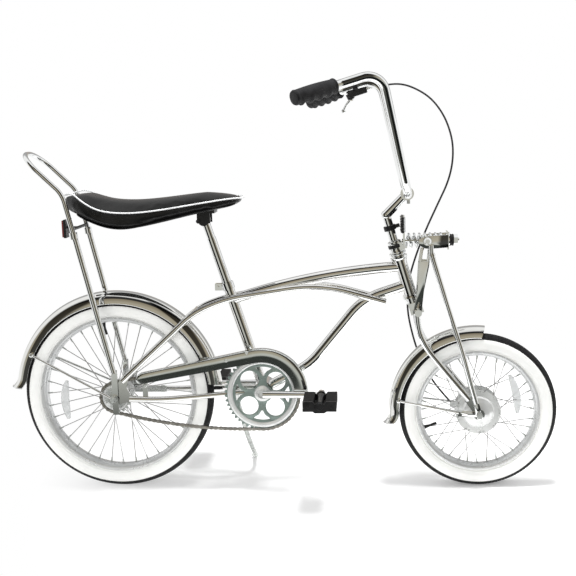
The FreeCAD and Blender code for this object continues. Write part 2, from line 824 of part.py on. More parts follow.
collar_low = on_seat_tube(float(size.seat_tube_length) - 16)
collar_high = on_seat_tube(float(size.seat_tube_length) + 3)
collar_mid = on_seat_tube(float(size.seat_tube_length) - 7)
collar = cut(fuse([
    bar(collar_low, collar_high, size.main_tube_radius + 3),
    block(collar_mid + Vector(-22, 0, -2), 22, 20, 17),
]), [bar(collar_low, collar_high, size.main_tube_radius + 0.02),
     bar(collar_low, on_seat_tube(float(size.seat_tube_length) + 9), size.main_tube_radius),
     block(collar_mid + Vector(-24, 0, -2), 26, 4, 24)])
collar_bolt = bar(collar_mid + Vector(-26, -15, -2), collar_mid + Vector(-26, 15, -2), 4)
piece(fuse([collar, collar_bolt], "collar"), "seat_collar")

# Banana seat and pan
# ahead, half width, underside, piping, crown (heights above the rear axle)
SEAT_STATIONS = (
    (-108, 34, 506, 532, 536),
    (-98, 50, 500, 537, 538),
    (-86, 59, 494, 539, 538),
    (-70, 78, 488, 536, 537),
    (-48, 92, 477, 520, 531),
    (-20, 97, 465, 503, 523),
    (10, 98, 455, 493, 515),
    (55, 95, 450, 488, 511),
    (105, 88, 457, 489, 512),
    (170, 79, 471, 496, 518),
    (240, 69, 486, 506, 526),
    (300, 60, 497, 514, 529),
    (334, 48, 504, 517, 526),
    (348, 34, 508, 516, 520),
)


def seat_section(ahead, half_width, low, edge, crown):
    """A section: flat underside, short walls and a crowned top."""
    corner = Vector(ahead, -half_width, edge)
    other = Vector(ahead, half_width, edge)
    base = Vector(ahead, -half_width + 4, low)
    base_other = Vector(ahead, half_width - 4, low)
    edges = [
        Part.LineSegment(base_other, base).toShape(),
        Part.LineSegment(base, corner).toShape(),
        Part.Arc(corner, Vector(ahead, 0, max(crown, edge + 1)), other).toShape(),
        Part.LineSegment(other, base_other).toShape(),
    ]
    return Part.Wire(edges)


PAN_THICKNESS = 2.5
CLAMP_CUT_HEIGHT = 60.0


def pan_section(ahead, half_width, low, above=0.0):
    """A thin section just beneath the cushion, with more height above it on request."""
    under = low - float(size.seat_gap) - PAN_THICKNESS
    top = under + PAN_THICKNESS + above
    half = half_width - 12
    corners = [
        Vector(ahead, -half, under), Vector(ahead, half, under), Vector(ahead, half, top),
        Vector(ahead, -half, top),
    ]
    return Part.makePolygon(corners + corners[:1])


def lofted(sections, prefix):
    """A solid through a row of sections."""
    holders = []
    for section in sections:
        holder = doc.addObject("Part::Feature", fresh("section"))
        holder.Shape = section
        holders.append(holder)
    loft = doc.addObject("Part::Loft", fresh(prefix))
    loft.Sections = holders
    loft.Solid = True
    loft.Ruled = False
    return loft


piece(lofted([seat_section(*station) for station in SEAT_STATIONS], "cushion"), "seat")
pan = lofted([pan_section(row[0], row[1], row[2]) for row in SEAT_STATIONS[3:-1]], "pan")
seat_tool_low = lofted([
    seat_section(row[0], row[1], row[2] - float(size.seat_gap), row[3], row[4])
    for row in SEAT_STATIONS
], "cushion_clearance")
piece(cut(pan, [seat_tool_low]), "seat_pan")

# clamp between the post and the pan, with two ears and a flange that meet the pan's underside
clamp_centre = on_seat_tube(float(size.post_top) - 10)
clamp_parts = fuse([
    bar(clamp_centre - Vector(0, 21, 0), clamp_centre + Vector(0, 21, 0), 15),
    bar(clamp_centre + Vector(-14, -25, -2), clamp_centre + Vector(-14, 25, -2), 5),
    block(clamp_centre + Vector(0, -19, 12), 34, 4, 40),
    block(clamp_centre + Vector(0, 19, 12), 34, 4, 40),
    block(clamp_centre + Vector(0, 0, 24), 60, 56, 12),
])
pan_tool = lofted([
    pan_section(row[0], row[1], row[2], CLAMP_CUT_HEIGHT) for row in SEAT_STATIONS[3:-1]
], "pan_clearance")
piece(cut(clamp_parts, [pan_tool, bar(on_seat_tube(float(size.post_top) - 60),
                                      on_seat_tube(size.post_top),
                                      size.post_neck_radius)]), "seat_clamp")

# Sissy bar
half = float(size.sissy_half_width)
strut_top = Vector(-79, half, 430)
strut_foot = Vector(-4, half, 98)
hoop_points = [
    Vector(-66, half, 372), Vector(-float(size.hoop_bend_back), half, float(size.hoop_bend_rise)),
    Vector(-float(size.hoop_back), half, float(size.hoop_rise)),
    Vector(-float(size.hoop_back), -half, float(size.hoop_rise)),
    Vector(-float(size.hoop_bend_back), -half, float(size.hoop_bend_rise)),
    Vector(-66, -half, 372),
]
hoop = tube(hoop_points, size.hoop_radius, [70, 62, 62, 70])
piece(hoop, "sissy_hoop")

for side, word in ((-1, "right"), (1, "left")):
    top = Vector(strut_top.x, side * half, strut_top.z)
    low = Vector(strut_foot.x, side * half, strut_foot.z)
    strut = fuse([
        tube([top, low, Vector(3, side * half, 70)], size.strut_radius, [60]),
        block(Vector(3.5, side * (dropout_out + 2), 18), 16, 3, 120),
        bar(top - Z_AXIS * 6, top + Vector(-2.4, 0, 10.8), 11),
    ])
    hoop_tool = tube(hoop_points, size.hoop_radius + 0.02, [70, 62, 62, 70])
    piece(cut(strut, [hoop_tool, bar(Vector(0, side * 40, 0), Vector(0, side * 90, 0),
                                     size.axle_radius + 0.02)]), f"sissy_strut_{word}")

reflector = fuse([
    block(Vector(-117, 0, 446), 9, 58, 46),
    bar(Vector(-84, -half, 448), Vector(-84, half, 448), 4),
    block(Vector(-98, 0, 448), 32, 14, 4),
])
piece(cut(reflector, [tube(hoop_points, size.hoop_radius + 0.02, [70, 62, 62, 70])]),
      "rear_reflector")


# Fenders
def fender(label, centre, radius, half_width, first, last):
    """An arched fender between two angles, measured from straight ahead over the top."""
    wall = size.fender_wall
    inner_radius = half_width - wall
    middle = radius - half_width
    body = doc.addObject("PartDesign::Body", fresh("fender"))
    sketch = sketch_on(body, "XY_Plane")
    mean = float(middle)
    outside = float(half_width)
    inside = float(inner_radius)
    quarter = math.pi / 2
    centre_point = Vector(mean, 0, 0)
    sketch.addGeometry(Part.ArcOfCircle(
        Part.Circle(centre_point, Z_AXIS, outside), -quarter, quarter), False)
    sketch.addGeometry(Part.ArcOfCircle(
        Part.Circle(centre_point, Z_AXIS, inside), -quarter, quarter), False)
    sketch.addGeometry(Part.LineSegment(
        Vector(mean, outside, 0), Vector(mean, inside, 0)), False)
    sketch.addGeometry(Part.LineSegment(
        Vector(mean, -inside, 0), Vector(mean, -outside, 0)), False)
    turn = body.newObject("PartDesign::Revolution", fresh("revolve"))
    turn.Profile = sketch
    turn.ReferenceAxis = (sketch, ["V_Axis"])
    turn.Angle = last - first
    turn.Midplane = True
    body.Tip = turn
    body.Placement = Placement(centre, Rotation(Y_AXIS, -(first + last) / 2))
    return piece(body, label)


fender("rear_fender", REAR_AXLE, size.rear_fender_radius, size.rear_fender_half_width, 5, 173)
FRONT_FENDER = FRONT_AXLE + Vector(-5.5, 0, -3.5)
fender("front_fender", FRONT_FENDER, size.front_fender_radius, size.front_fender_half_width,
       84, 186)


def stay_pair(anchors, eye, out, radius=2.6):
    """Fender stays: from both sides of the fender to an eye on the axle."""
    rods = []
    for side in (-1, 1):
        for anchor, half_width in anchors:
            start = Vector(anchor.x, side * half_width, anchor.z)
            end = Vector(eye.x, side * out, eye.z)
            rods.append(bar(start, end, radius))
    return rods


rear_stay_out = dropout_out + 4.9
rear_rods = stay_pair([(Vector(-225, 0, 113), 32.4)], Vector(-8, 0, 3.5), rear_stay_out)
rear_eyes = []
for side in (-1, 1):
    eye = fuse([rear_rods[0 if side < 0 else 1],
                bar(Vector(0, side * (dropout_out + 3.6), 0),
                    Vector(0, side * (dropout_out + 6.1), 0), 12)])
    rear_eyes.append(cut(eye, [bar(Vector(0, side * 40, 0), Vector(0, side * 90, 0),
                                   size.axle_radius + 0.02)]))
piece(group(rear_eyes, "stays"), "rear_fender_stays")

# Springer fork
leg_out = float(size.fork_leg_place)
DRAWN_FORK_LENGTH = 336.0
stretch = float(size.fork_length) / DRAWN_FORK_LENGTH
leg_table = [
    (ahead, up * stretch)
    for ahead, up in ((2, -36), (-7, -88), (1, -135), (26, -198), (50, -256), (65, -291))
]
LEG_PIVOT = -36 * stretch
for side, word in ((-1, "right"), (1, "left")):
    points = [steer(ahead, side * leg_out, up) for ahead, up in leg_table]
    axle_tip = steer(float(size.fork_rake), side * leg_out, -float(size.fork_length))
    leg_end = steer(63, side * leg_out, -286 * stretch)
    leg = fuse([
        tube(points, size.fork_leg_radius),
        bar(axle_tip - Y_AXIS * 2.5, axle_tip + Y_AXIS * 2.5, 14),
        block((axle_tip + leg_end) * 0.5, 20, 5, (axle_tip - leg_end).Length,
              Rotation(Z_AXIS, axle_tip - leg_end)),
        bar(steer(6, side * (leg_out + 9), LEG_PIVOT), steer(6, side * 26.3, LEG_PIVOT), 9),
    ])
    hole = bar(axle_tip - Y_AXIS * 10, axle_tip + Y_AXIS * 10, size.axle_radius + 0.02)
    piece(cut(leg, [hole]), f"fork_leg_{word}")

SPRING_START = steer(27.5, 0, 145)


def spring_point(along, out=0.0, up=0.0):
    """A point on the horizontal spring bolt's line."""
    return SPRING_START + Vector(along, out, up)


crown_parts = [
    bar(steer(0, 0, -20), steer(0, 0, float(size.head_length) + 43), size.steerer_radius),
    bar(steer(0, 0, -14), steer(0, 0, -0.4), 17.5),
    bar(steer(0, 0, float(size.head_length) + 0.4), steer(0, 0, float(size.head_length) + 16), 19),
    bar(steer(0, 0, float(size.head_length) + 24), steer(0, 0, float(size.head_length) + 42), 17),
    block(steer(4, 0, -28), 34, 43, 30, Rotation(Z_AXIS, STEER_UP)),
    block(steer(9, 0, float(size.head_length) + 28), 20, 30, 20, Rotation(Z_AXIS, STEER_UP)),
    block(spring_point(-3.5, 0, 0), 5, 40, 40),
]
quill_hole = bar(steer(0, 0, 60), steer(0, 0, 200), size.quill_radius + 0.02)
bolt_hole = bar(spring_point(-9), spring_point(5), 5.02)
piece(cut(fuse(crown_parts, "crown"), [quill_hole, bolt_hole]), "fork_crown")

arms = []
for side in (-1, 1):
    arm_low = steer(6, side * 24, LEG_PIVOT)
    arm_high = steer(80, side * 24, 122)
    arm = fuse([
        block((arm_low + arm_high) * 0.5, 19, 4, (arm_high - arm_low).Length,
              Rotation(Z_AXIS, arm_high - arm_low)),
        bar(arm_low - Y_AXIS * 2, arm_low + Y_AXIS * 2, 12),
        bar(arm_high - Y_AXIS * 2, arm_high + Y_AXIS * 2, 11),
    ])
    arms.append(arm)
piece(group(arms, "arms"), "rocker_arms")

SPRING_WIRE = 3.0
SPRING_SEAT_GAP = 0.3
seat_rear = -1.0
seat_front = 104.0
coil_start = seat_rear + SPRING_SEAT_GAP + SPRING_WIRE
coil = doc.addObject("Part::Helix", "spring_path")
coil.Pitch = 13.5
coil.Height = seat_front - SPRING_SEAT_GAP - SPRING_WIRE - coil_start
coil.Radius = 17
coil.Placement = Placement(spring_point(coil_start), Rotation(Z_AXIS, X_AXIS))
wire_ring = doc.addObject("Part::Circle", "spring_ring")
wire_ring.Radius = SPRING_WIRE
wire_ring.Placement = Placement(
    coil.Placement.multVec(Vector(17, 0, 0)), Rotation(Z_AXIS, Vector(0.0, 1.0, 0.0)))
spring = doc.addObject("Part::Sweep", "spring_coil")
spring.Sections = [wire_ring]
spring.Spine = (coil, ["Edge1"])
spring.Solid = True
spring.Frenet = True
piece(spring, "fork_spring")

yoke_parts = [
    bar(spring_point(-8), spring_point(132), 5),
    block(spring_point(80, -28.2, -4), 56, 4, 26),
    block(spring_point(80, 28.2, -4), 56, 4, 26),
    block(spring_point(106, 0, -2), 4, 60, 32),
    bar(spring_point(108), spring_point(121), 15),
    hexagon(spring_point(122), X_AXIS, 19, 9),
]
piece(fuse(yoke_parts, "yoke"), "spring_yoke")

truss_table = [(74, 104, 35.3)] + [
    (ahead, up * stretch, out)
    for ahead, up, out in ((82, -90, 46), (84, -166, 52), (80, -250, 55.6), (79.4, -304, 55.6))
]
for side, word in ((-1, "right"), (1, "left")):
    points = [steer(ahead, side * out, up) for ahead, up, out in truss_table]
    eye = steer(size.fork_rake, side * 55.6, -float(size.fork_length))
    rod = fuse([
        tube(points, size.truss_radius),
        block((eye + points[-1]) * 0.5, 14, 4, (eye - points[-1]).Length + 8,
              Rotation(Z_AXIS, eye - points[-1])),
        bar(eye - Y_AXIS * 2, eye + Y_AXIS * 2, 12),
    ])
    hole = bar(eye - Y_AXIS * 10, eye + Y_AXIS * 10, size.axle_radius + 0.02)
    piece(cut(rod, [hole]), f"truss_rod_{word}")

front_out = 58.0
front_parts = make_axle(FRONT_AXLE, front_out + 16, [
    (-45.4, -38.4, 8), (39.1, 45.4, 8),
])
front_parts.append(hexagon(FRONT_AXLE - Y_AXIS * (front_out + 8), Y_AXIS, 15, 8))
front_parts.append(hexagon(FRONT_AXLE + Y_AXIS * front_out, Y_AXIS, 15, 8))
piece(fuse(front_parts, "axle"), "front_axle")

anchor_radius = size.front_fender_radius - size.front_fender_half_width + 3
anchor_ahead, anchor_up = polar(anchor_radius, 170)
front_anchor = FRONT_FENDER + Vector(anchor_ahead, 0, anchor_up)
front_rods = []
for side in (-1, 1):
    start = Vector(front_anchor.x, side * 29.5, front_anchor.z)
    end = FRONT_AXLE + Vector(-52, side * 52, 5)
    rod = fuse([bar(start, end, 2.6),
                block(FRONT_AXLE + Vector(-30, side * 52, 2), 50, 2, 12),
                bar(FRONT_AXLE + Y_AXIS * side * 51, FRONT_AXLE + Y_AXIS * side * 53, 11)])
    front_rods.append(cut(rod, [bar(FRONT_AXLE + Y_AXIS * side * 40, FRONT_AXLE + Y_AXIS * side * 70,
                                    size.axle_radius + 0.02)]))
STRAP_AHEAD = -5.0
STRAP_GAP = 13.7
fender_ahead = (FRONT_FENDER - HEAD_FOOT).dot(STEER_AHEAD)
fender_up = (FRONT_FENDER - HEAD_FOOT).dot(STEER_UP)
strap_reach = float(size.front_fender_radius) + STRAP_GAP
strap_up = fender_up + math.sqrt(strap_reach ** 2 - (fender_ahead - STRAP_AHEAD) ** 2)
strap_at = steer(STRAP_AHEAD, 0, strap_up)
fender_way = FRONT_FENDER - strap_at
fender_gap = STRAP_GAP - 0.05
fender_way.normalize()
strap = fuse([
    bar(strap_at - Y_AXIS * 42, strap_at + Y_AXIS * 42, 4.5),
    bar(strap_at, strap_at + fender_way * fender_gap, 5),
])
front_rods.append(cut(strap, [
    tube([steer(ahead, side * leg_out, up) for ahead, up in leg_table], size.fork_leg_radius)
    for side in (-1, 1)
]))
piece(group(front_rods, "stays"), "front_fender_stays")

# Stem, handlebar, levers
quill_top = steer(0, 0, 222)
clamp_point = steer(size.bar_clamp_ahead, 0, size.bar_clamp_up)
stem_parts = [
    bar(steer(0, 0, 70), quill_top, size.quill_radius),
    ball(quill_top, size.quill_radius + 1.5),
    cone(quill_top, clamp_point, size.quill_radius + 1, size.quill_radius - 0.5),
    bar(clamp_point - Y_AXIS * 19, clamp_point + Y_AXIS * 19, size.bar_radius + 6),
    bar(clamp_point + Vector(4, 0, -14), clamp_point + Vector(4, 0, -27), 5),
]
bar_tool = bar(clamp_point - Y_AXIS * 40, clamp_point + Y_AXIS * 40, size.bar_radius + 0.02)
piece(cut(fuse(stem_parts, "stem"), [bar_tool]), "stem")

bar_half = [
    steer(size.bar_clamp_ahead, 88, size.bar_clamp_up),
    steer(size.bar_top_ahead, size.bar_top_out, size.bar_rise),
    steer(-8, size.bar_knee_out, size.bar_rise),
    steer(size.bar_end_ahead, size.bar_end_out, size.bar_rise),
]
bar_points = mirrored(bar_half)[::-1] + bar_half
piece(tube(bar_points, size.bar_radius, [28, 55, 60, 60, 55, 28], "handlebar"), "handlebar")

grips = []
for side in (-1, 1):
    knee = steer(-8, side * float(size.bar_knee_out), size.bar_rise)
    tip = steer(size.bar_end_ahead, side * float(size.bar_end_out), size.bar_rise)
    along = tip - knee
    along.normalize()
    start = tip - along * float(size.grip_length)
    end = tip + along * 6
    grip = fuse([
        bar(start, end, size.grip_radius),
        bar(start, start + along * 5, size.grip_radius + 3),
        bar(end - along * 6, end, size.grip_radius + 3),
    ])
    grips.append(cut(grip, [bar(start - along * 20, tip, size.bar_radius + 0.02)]))
piece(group(grips, "grips"), "grips")

lever_rise = float(size.bar_rise)
lever_parts = fuse([
    block(steer(24, 229, lever_rise - 6), 46, 30, 32, Rotation(Z_AXIS, STEER_UP)),
    tube([steer(12, 233, lever_rise - 22), steer(-30, 258, lever_rise - 35),
          steer(-98, 312, lever_rise - 38)], 4.5, [80]),
    bar(steer(40, 229, lever_rise - 15), steer(54, 229, lever_rise - 15), 4.5),
])
lever_hole = tube(bar_points, size.bar_radius + 0.02, [28, 55, 60, 60, 55, 28])
piece(cut(lever_parts, [lever_hole]), "brake_lever")

reflector_parts = [
    cut(bar(steer(0, 0, 182), steer(0, 0, 194), size.quill_radius + 4),
        [bar(steer(0, 0, 170), steer(0, 0, 200), size.quill_radius + 0.02)]),
    block(steer(23, 0, 190), 22, 12, 3, Rotation(Z_AXIS, STEER_UP)),
    block(steer(36, 0, 188), 8, 78, 46, Rotation(Z_AXIS, STEER_UP)),
]
piece(fuse(reflector_parts, "reflector"), "front_reflector")

# brake cable: ahead of the steering axis, out to the left, up along it
CABLE_ROUTE = (
    (55, 229, 547), (104, 224, 541), (147, 206, 528), (186, 181, 493), (210, 157, 455),
    (224, 130, 399), (220, 102, 330), (188, 79, 260), (128, 58, 196), (80, 44, 143),
    (34, 42, 82), (0, 44, 26), (-20, 48, -38), (-26, 52, -100), (-26, 48, -160),
    (-14, 43, -232), (6, 42, -284), (20, 41.7, -313),
)
cable_points = [steer(ahead, out, up) for ahead, out, up in CABLE_ROUTE]
CABLE_RADIUS = 2.5
cable = piece(tube(cable_points, CABLE_RADIUS), "brake_cable")


def print_cord(points, radius):
    """Print the radii of a cord's arcs, its length and the volume that length should have."""
    wire = route(points)
    arcs = [edge.Curve.Radius for edge in wire.Edges if isinstance(edge.Curve, Part.Circle)]
    print("cord radii", [round(value, 1) for value in arcs])
    print(f"cord length {wire.Length:.1f}, volume by length {math.pi * radius ** 2 * wire.Length:.0f}")


print_cord(cable_points, CABLE_RADIUS)

# Kickstand
STAND_FOLD = 72
stand_turn = math.radians(float(size.stand_axis_turn))
stand_rise = math.radians(float(size.stand_axis_rise))
stand_axis = Vector(
    math.sin(stand_turn),
    math.cos(stand_turn) * math.cos(stand_rise),
    math.cos(stand_turn) * math.sin(stand_rise),
)
stand_root = Vector(303, 26, -25)
lean = math.radians(float(size.lean_angle))
foot_out = float(size.stand_foot_out)
foot_rise = GROUND + foot_out * math.tan(lean) + float(size.stand_foot_radius) / math.cos(lean)
stand_foot = Vector(float(size.stand_foot_ahead), foot_out, foot_rise)
stand_points = [
    stand_root + stand_axis * 18, Vector(335, 50, -140), Vector(352, 84, -206), stand_foot,
]
housing = bar(stand_root - stand_axis * 18, stand_root, 11)
housing_bridge = block(Vector(303, 6, -14), 22, 30, 26)
pivot = bar(stand_root - stand_axis * 16, stand_root + stand_axis * 8, 6)
piece(cut(fuse([housing, housing_bridge]), [
    bar(stand_root - stand_axis * 40, stand_root + stand_axis * 20, 6.06),
    bar(stand_root + stand_axis * 0.1, stand_root + stand_axis * 30, 10.3),
    tube(stay_points, size.chain_stay_radius), tube(mirrored(stay_points), size.chain_stay_radius),
    bar(Vector(300, -26, 4), Vector(300, 26, 4), 6),
]), "kickstand_bracket")
leg_parts = [
    pivot, bar(stand_root + stand_axis * 0.4, stand_root + stand_axis * 25, 10),
    tube(stand_points, size.stand_leg_radius),
    ball(stand_foot, size.stand_foot_radius),
]
piece(fuse(leg_parts, "kickstand"), "kickstand")

# Chain guard
guard_y = -float(size.guard_plane)
outer_guard = 120.0
inner_guard = float(size.guard_disc_radius) + 2
left_end = 58.0
top_angle = 11.5
bottom_angle = 10.2


def guard_points():
    """The guard's outline: a long bar that hooks round the front of the chainring."""
    points = []
    x0, z0 = BRACKET.x, BRACKET.z
    top_touch = 90 + top_angle
    x_top = x0 + outer_guard * math.cos(math.radians(top_touch))
    z_top = z0 + outer_guard * math.sin(math.radians(top_touch))
    points.append((left_end, z_top - (x_top - left_end) * math.tan(math.radians(top_angle))))
    steps = 18
    for index in range(steps + 1):
        angle = top_touch + (2.0 - top_touch) * index / steps
        x, z = polar(outer_guard, angle)
        points.append((x0 + x, z0 + z))
    low_touch = 90 + bottom_angle
    for index in range(steps + 1):
        angle = 2.8 + (low_touch - 2.8) * index / steps
        x, z = polar(inner_guard, angle)
        points.append((x0 + x, z0 + z))
    x_low, z_low = points[-1]
    points.append((left_end + 2.4, z_low - (x_low - left_end - 2.4) * math.tan(
        math.radians(bottom_angle))))
    return points


guard_plate = plate(guard_points(), 2.0, at(Vector(0, guard_y, 0)), prefix="guard")
guard_tabs = [
    block(Vector(82, guard_y, 25), 14, 2, 50),
    block(Vector(352, guard_y / 2 - 7, 116), 16, abs(guard_y) - 14, 2.4),
]
piece(cut(fuse([guard_plate] + guard_tabs), [
    seat_tool, tube(mirrored(stay_points), size.chain_stay_radius),
]), "chain_guard")

# Lean, ground and writing
doc.recompute()
leaning = Rotation(X_AXIS, -float(size.lean_angle))
local_places = [item.Placement.copy() for item in finished]
for item, local in zip(finished, local_places):
    item.Placement = Placement(Vector(), leaning).multiply(local)
doc.recompute()
low = Vector(1e9, 1e9, 1e9)
high = Vector(-1e9, -1e9, -1e9)
for item in finished:
    if item.Label == "brake_cable":
        continue
    box = item.Shape.optimalBoundingBox(False)
    low = Vector(min(low.x, box.XMin), min(low.y, box.YMin), min(low.z, box.ZMin))
    high = Vector(max(high.x, box.XMax), max(high.y, box.YMax), max(high.z, box.ZMax))
shift = Vector(-(low.x + high.x) / 2, -(low.y + high.y) / 2, -low.z)
WORLD = Placement(shift, leaning)
for item, local in zip(finished, local_places):
    item.Placement = WORLD.multiply(local)
doc.recompute()

faults = [item.Label for item in doc.Objects if set(item.State) & {"Invalid", "Error"}]
for item in finished:
    if item.Shape.isNull() or not item.Shape.isValid() or not item.Shape.Solids:
        faults.append(item.Label)
if faults:
    raise RuntimeError(f"pieces that failed: {sorted(set(faults))}")
names = [item.Label for item in finished]
if len(set(names)) != len(names):
    raise RuntimeError("two pieces share a name")

os.makedirs("parts", exist_ok=True)
for item in finished:
    item.Shape.exportStep(f"parts/{item.Label}.step")
print(f"cord volume {cable.Shape.Volume:.0f}")
print(f"{len(finished)} pieces, box {low + shift} to {high + shift}")
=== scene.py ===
"""Chopper bicycle: finishes, tyres, saddle, chain, controls and small fittings.

Every piece is drawn in the bicycle's own upright coordinates, in millimetres: the rear axle
is the origin, +X points forward, +Y to the rider's left and +Z up. Pieces ahead of the head
tube use steering coordinates: ahead of the steering axis, out to the left and up along it.
The layout then carries each mesh into the leaning frame, in metres.
"""
from __future__ import annotations

import json
import logging
import math
from collections.abc import Iterable, Sequence
from dataclasses import dataclass, field
from enum import Enum

import bmesh
import bpy
from mathutils import Matrix, Vector

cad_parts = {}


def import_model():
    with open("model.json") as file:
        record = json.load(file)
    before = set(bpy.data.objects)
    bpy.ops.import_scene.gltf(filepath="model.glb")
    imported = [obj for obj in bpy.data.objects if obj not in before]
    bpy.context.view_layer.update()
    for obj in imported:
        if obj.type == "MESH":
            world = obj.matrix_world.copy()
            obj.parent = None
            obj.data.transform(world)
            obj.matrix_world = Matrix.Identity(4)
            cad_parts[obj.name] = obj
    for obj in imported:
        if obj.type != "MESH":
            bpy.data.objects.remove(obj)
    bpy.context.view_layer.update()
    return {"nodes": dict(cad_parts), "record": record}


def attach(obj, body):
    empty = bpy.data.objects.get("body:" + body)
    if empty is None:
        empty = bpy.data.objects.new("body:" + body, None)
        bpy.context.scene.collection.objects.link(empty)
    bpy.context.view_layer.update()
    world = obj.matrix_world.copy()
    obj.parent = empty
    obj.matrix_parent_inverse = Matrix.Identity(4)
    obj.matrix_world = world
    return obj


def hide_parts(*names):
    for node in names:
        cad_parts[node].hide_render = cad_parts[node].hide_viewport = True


LOG = logging.getLogger("chopper")
MM = 0.001

Point = tuple[float, float, float]
Colour = tuple[float, float, float]


class Body(str, Enum):
    """The moving bodies of the bicycle."""

    FRAME = "frame"
    STEERING = "steering"
    FRONT_WHEEL = "front_wheel"
    REAR_WHEEL = "rear_wheel"
    CRANK = "crankset"
    SPROCKET = "sprocket"
    RIGHT_PEDAL = "right_pedal"
    LEFT_PEDAL = "left_pedal"


class Slot(str, Enum):
    """The record's material slots."""

    CHROME = "chrome"
    ZINC = "zinc_steel"
    CHAIN = "chain_steel"
    TYRE = "tyre_rubber"
    RUBBER = "black_rubber"
    VINYL = "black_vinyl"
    PLASTIC = "black_plastic"
    RED = "red_reflector"
    CLEAR = "clear_reflector"


# Layout


@dataclass
class Layout:
    """The bicycle's reference points, read from the frame's joints."""

    to_scene: Matrix
    front_axle: Vector
    bracket: Vector
    steer_up: Vector
    steer_ahead: Vector
    head_foot: Vector
    pedals: dict[str, Vector]
    head_joint_rise: float = 50.0

    @classmethod
    def from_record(cls, record: dict) -> "Layout":
        """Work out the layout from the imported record.

        Args:
            record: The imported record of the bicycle.

        Returns:
            The layout, with upright points in millimetres.
        """
        joints = {joint["name"]: joint for joint in record["behaviour"]["joints"]}
        wheel_axis = Vector(joints["rear_wheel_spin"]["axis"])
        lean = math.atan2(-wheel_axis.z, wheel_axis.y)
        turn = Matrix.Rotation(-lean, 4, "X")
        rear = Vector(joints["rear_wheel_spin"]["pos_m"])
        to_scene = Matrix.Translation(rear) @ turn @ Matrix.Scale(MM, 4)
        back = to_scene.inverted()

        def upright(name: str) -> Vector:
            """A joint's place in upright millimetres."""
            return back @ Vector(joints[name]["pos_m"])

        steer_up = (turn.inverted() @ Vector(joints["steering_turn"]["axis"])).normalized()
        steer_ahead = Vector((steer_up.z, 0.0, -steer_up.x))
        return cls(
            to_scene=to_scene,
            front_axle=upright("front_wheel_spin"),
            bracket=upright("crank_spin"),
            steer_up=steer_up,
            steer_ahead=steer_ahead,
            head_foot=upright("steering_turn") - steer_up * cls.head_joint_rise,
            pedals={"right": upright("right_pedal_spin"), "left": upright("left_pedal_spin")},
        )

    def steer(self, ahead: float, out: float, up: float) -> Vector:
        """A point in steering coordinates."""
        side = Vector((0.0, out, 0.0))
        return self.head_foot + self.steer_ahead * ahead + side + self.steer_up * up

    def steer_matrix(self, origin: Vector) -> Matrix:
        """A matrix whose Z runs up the steering axis and whose X looks ahead."""
        columns = (self.steer_ahead, Vector((0.0, 1.0, 0.0)), self.steer_up)
        turn = Matrix([list(column) for column in columns]).transposed().to_4x4()
        return Matrix.Translation(origin) @ turn


# Shader building


class Shader:
    """A material under construction, with short calls for its nodes and links."""

    def __init__(self, name: str) -> None:
        """Start a material with a Principled shader and its output."""
        self.material = bpy.data.materials.new(name)
        self.material.use_nodes = True
        self.tree = self.material.node_tree
        self.tree.nodes.clear()
        self.output = self.node("ShaderNodeOutputMaterial")
        self.surface = self.node("ShaderNodeBsdfPrincipled")
        self.link(self.surface.outputs["BSDF"], self.output.inputs["Surface"])
        self.coords = self.node("ShaderNodeTexCoord").outputs["Object"]

    def node(self, kind: str, **settings: object) -> bpy.types.Node:
        """Add a node and set its properties."""
        made = self.tree.nodes.new(kind)
        for name, value in settings.items():
            setattr(made, name, value)
        return made

    def link(self, source: bpy.types.NodeSocket, target: bpy.types.NodeSocket) -> None:
        """Join two sockets."""
        self.tree.links.new(source, target)

    def constant(self, **values: object) -> None:
        """Set plain numbers and colours on the shader's own sockets."""
        for name, value in values.items():
            self.surface.inputs[name.replace("_", " ")].default_value = value

    def group(self, tree: bpy.types.NodeTree, **values: float) -> bpy.types.Node:
        """Place a shared group that reads object coordinates."""
        placed = self.node("ShaderNodeGroup", node_tree=tree)
        self.link(self.coords, placed.inputs["Vector"])
        for name, value in values.items():
            placed.inputs[name].default_value = value
        return placed

    def mix(self, mask: bpy.types.NodeSocket, low: Colour, high: Colour) -> bpy.types.NodeSocket:
        """Blend two colours by a mask."""
        blend = self.node("ShaderNodeMix", data_type="RGBA")
        self.link(mask, blend.inputs[0])
        blend.inputs[6].default_value = (*low, 1.0)
        blend.inputs[7].default_value = (*high, 1.0)
        return blend.outputs[2]

    def spread(
        self, mask: bpy.types.NodeSocket, low: float, high: float
    ) -> bpy.types.NodeSocket:
        """Map a mask from 0..1 onto a range of values."""
        ranged = self.node("ShaderNodeMapRange")
        self.link(mask, ranged.inputs["Value"])
        ranged.inputs["To Min"].default_value = low
        ranged.inputs["To Max"].default_value = high
        return ranged.outputs["Result"]


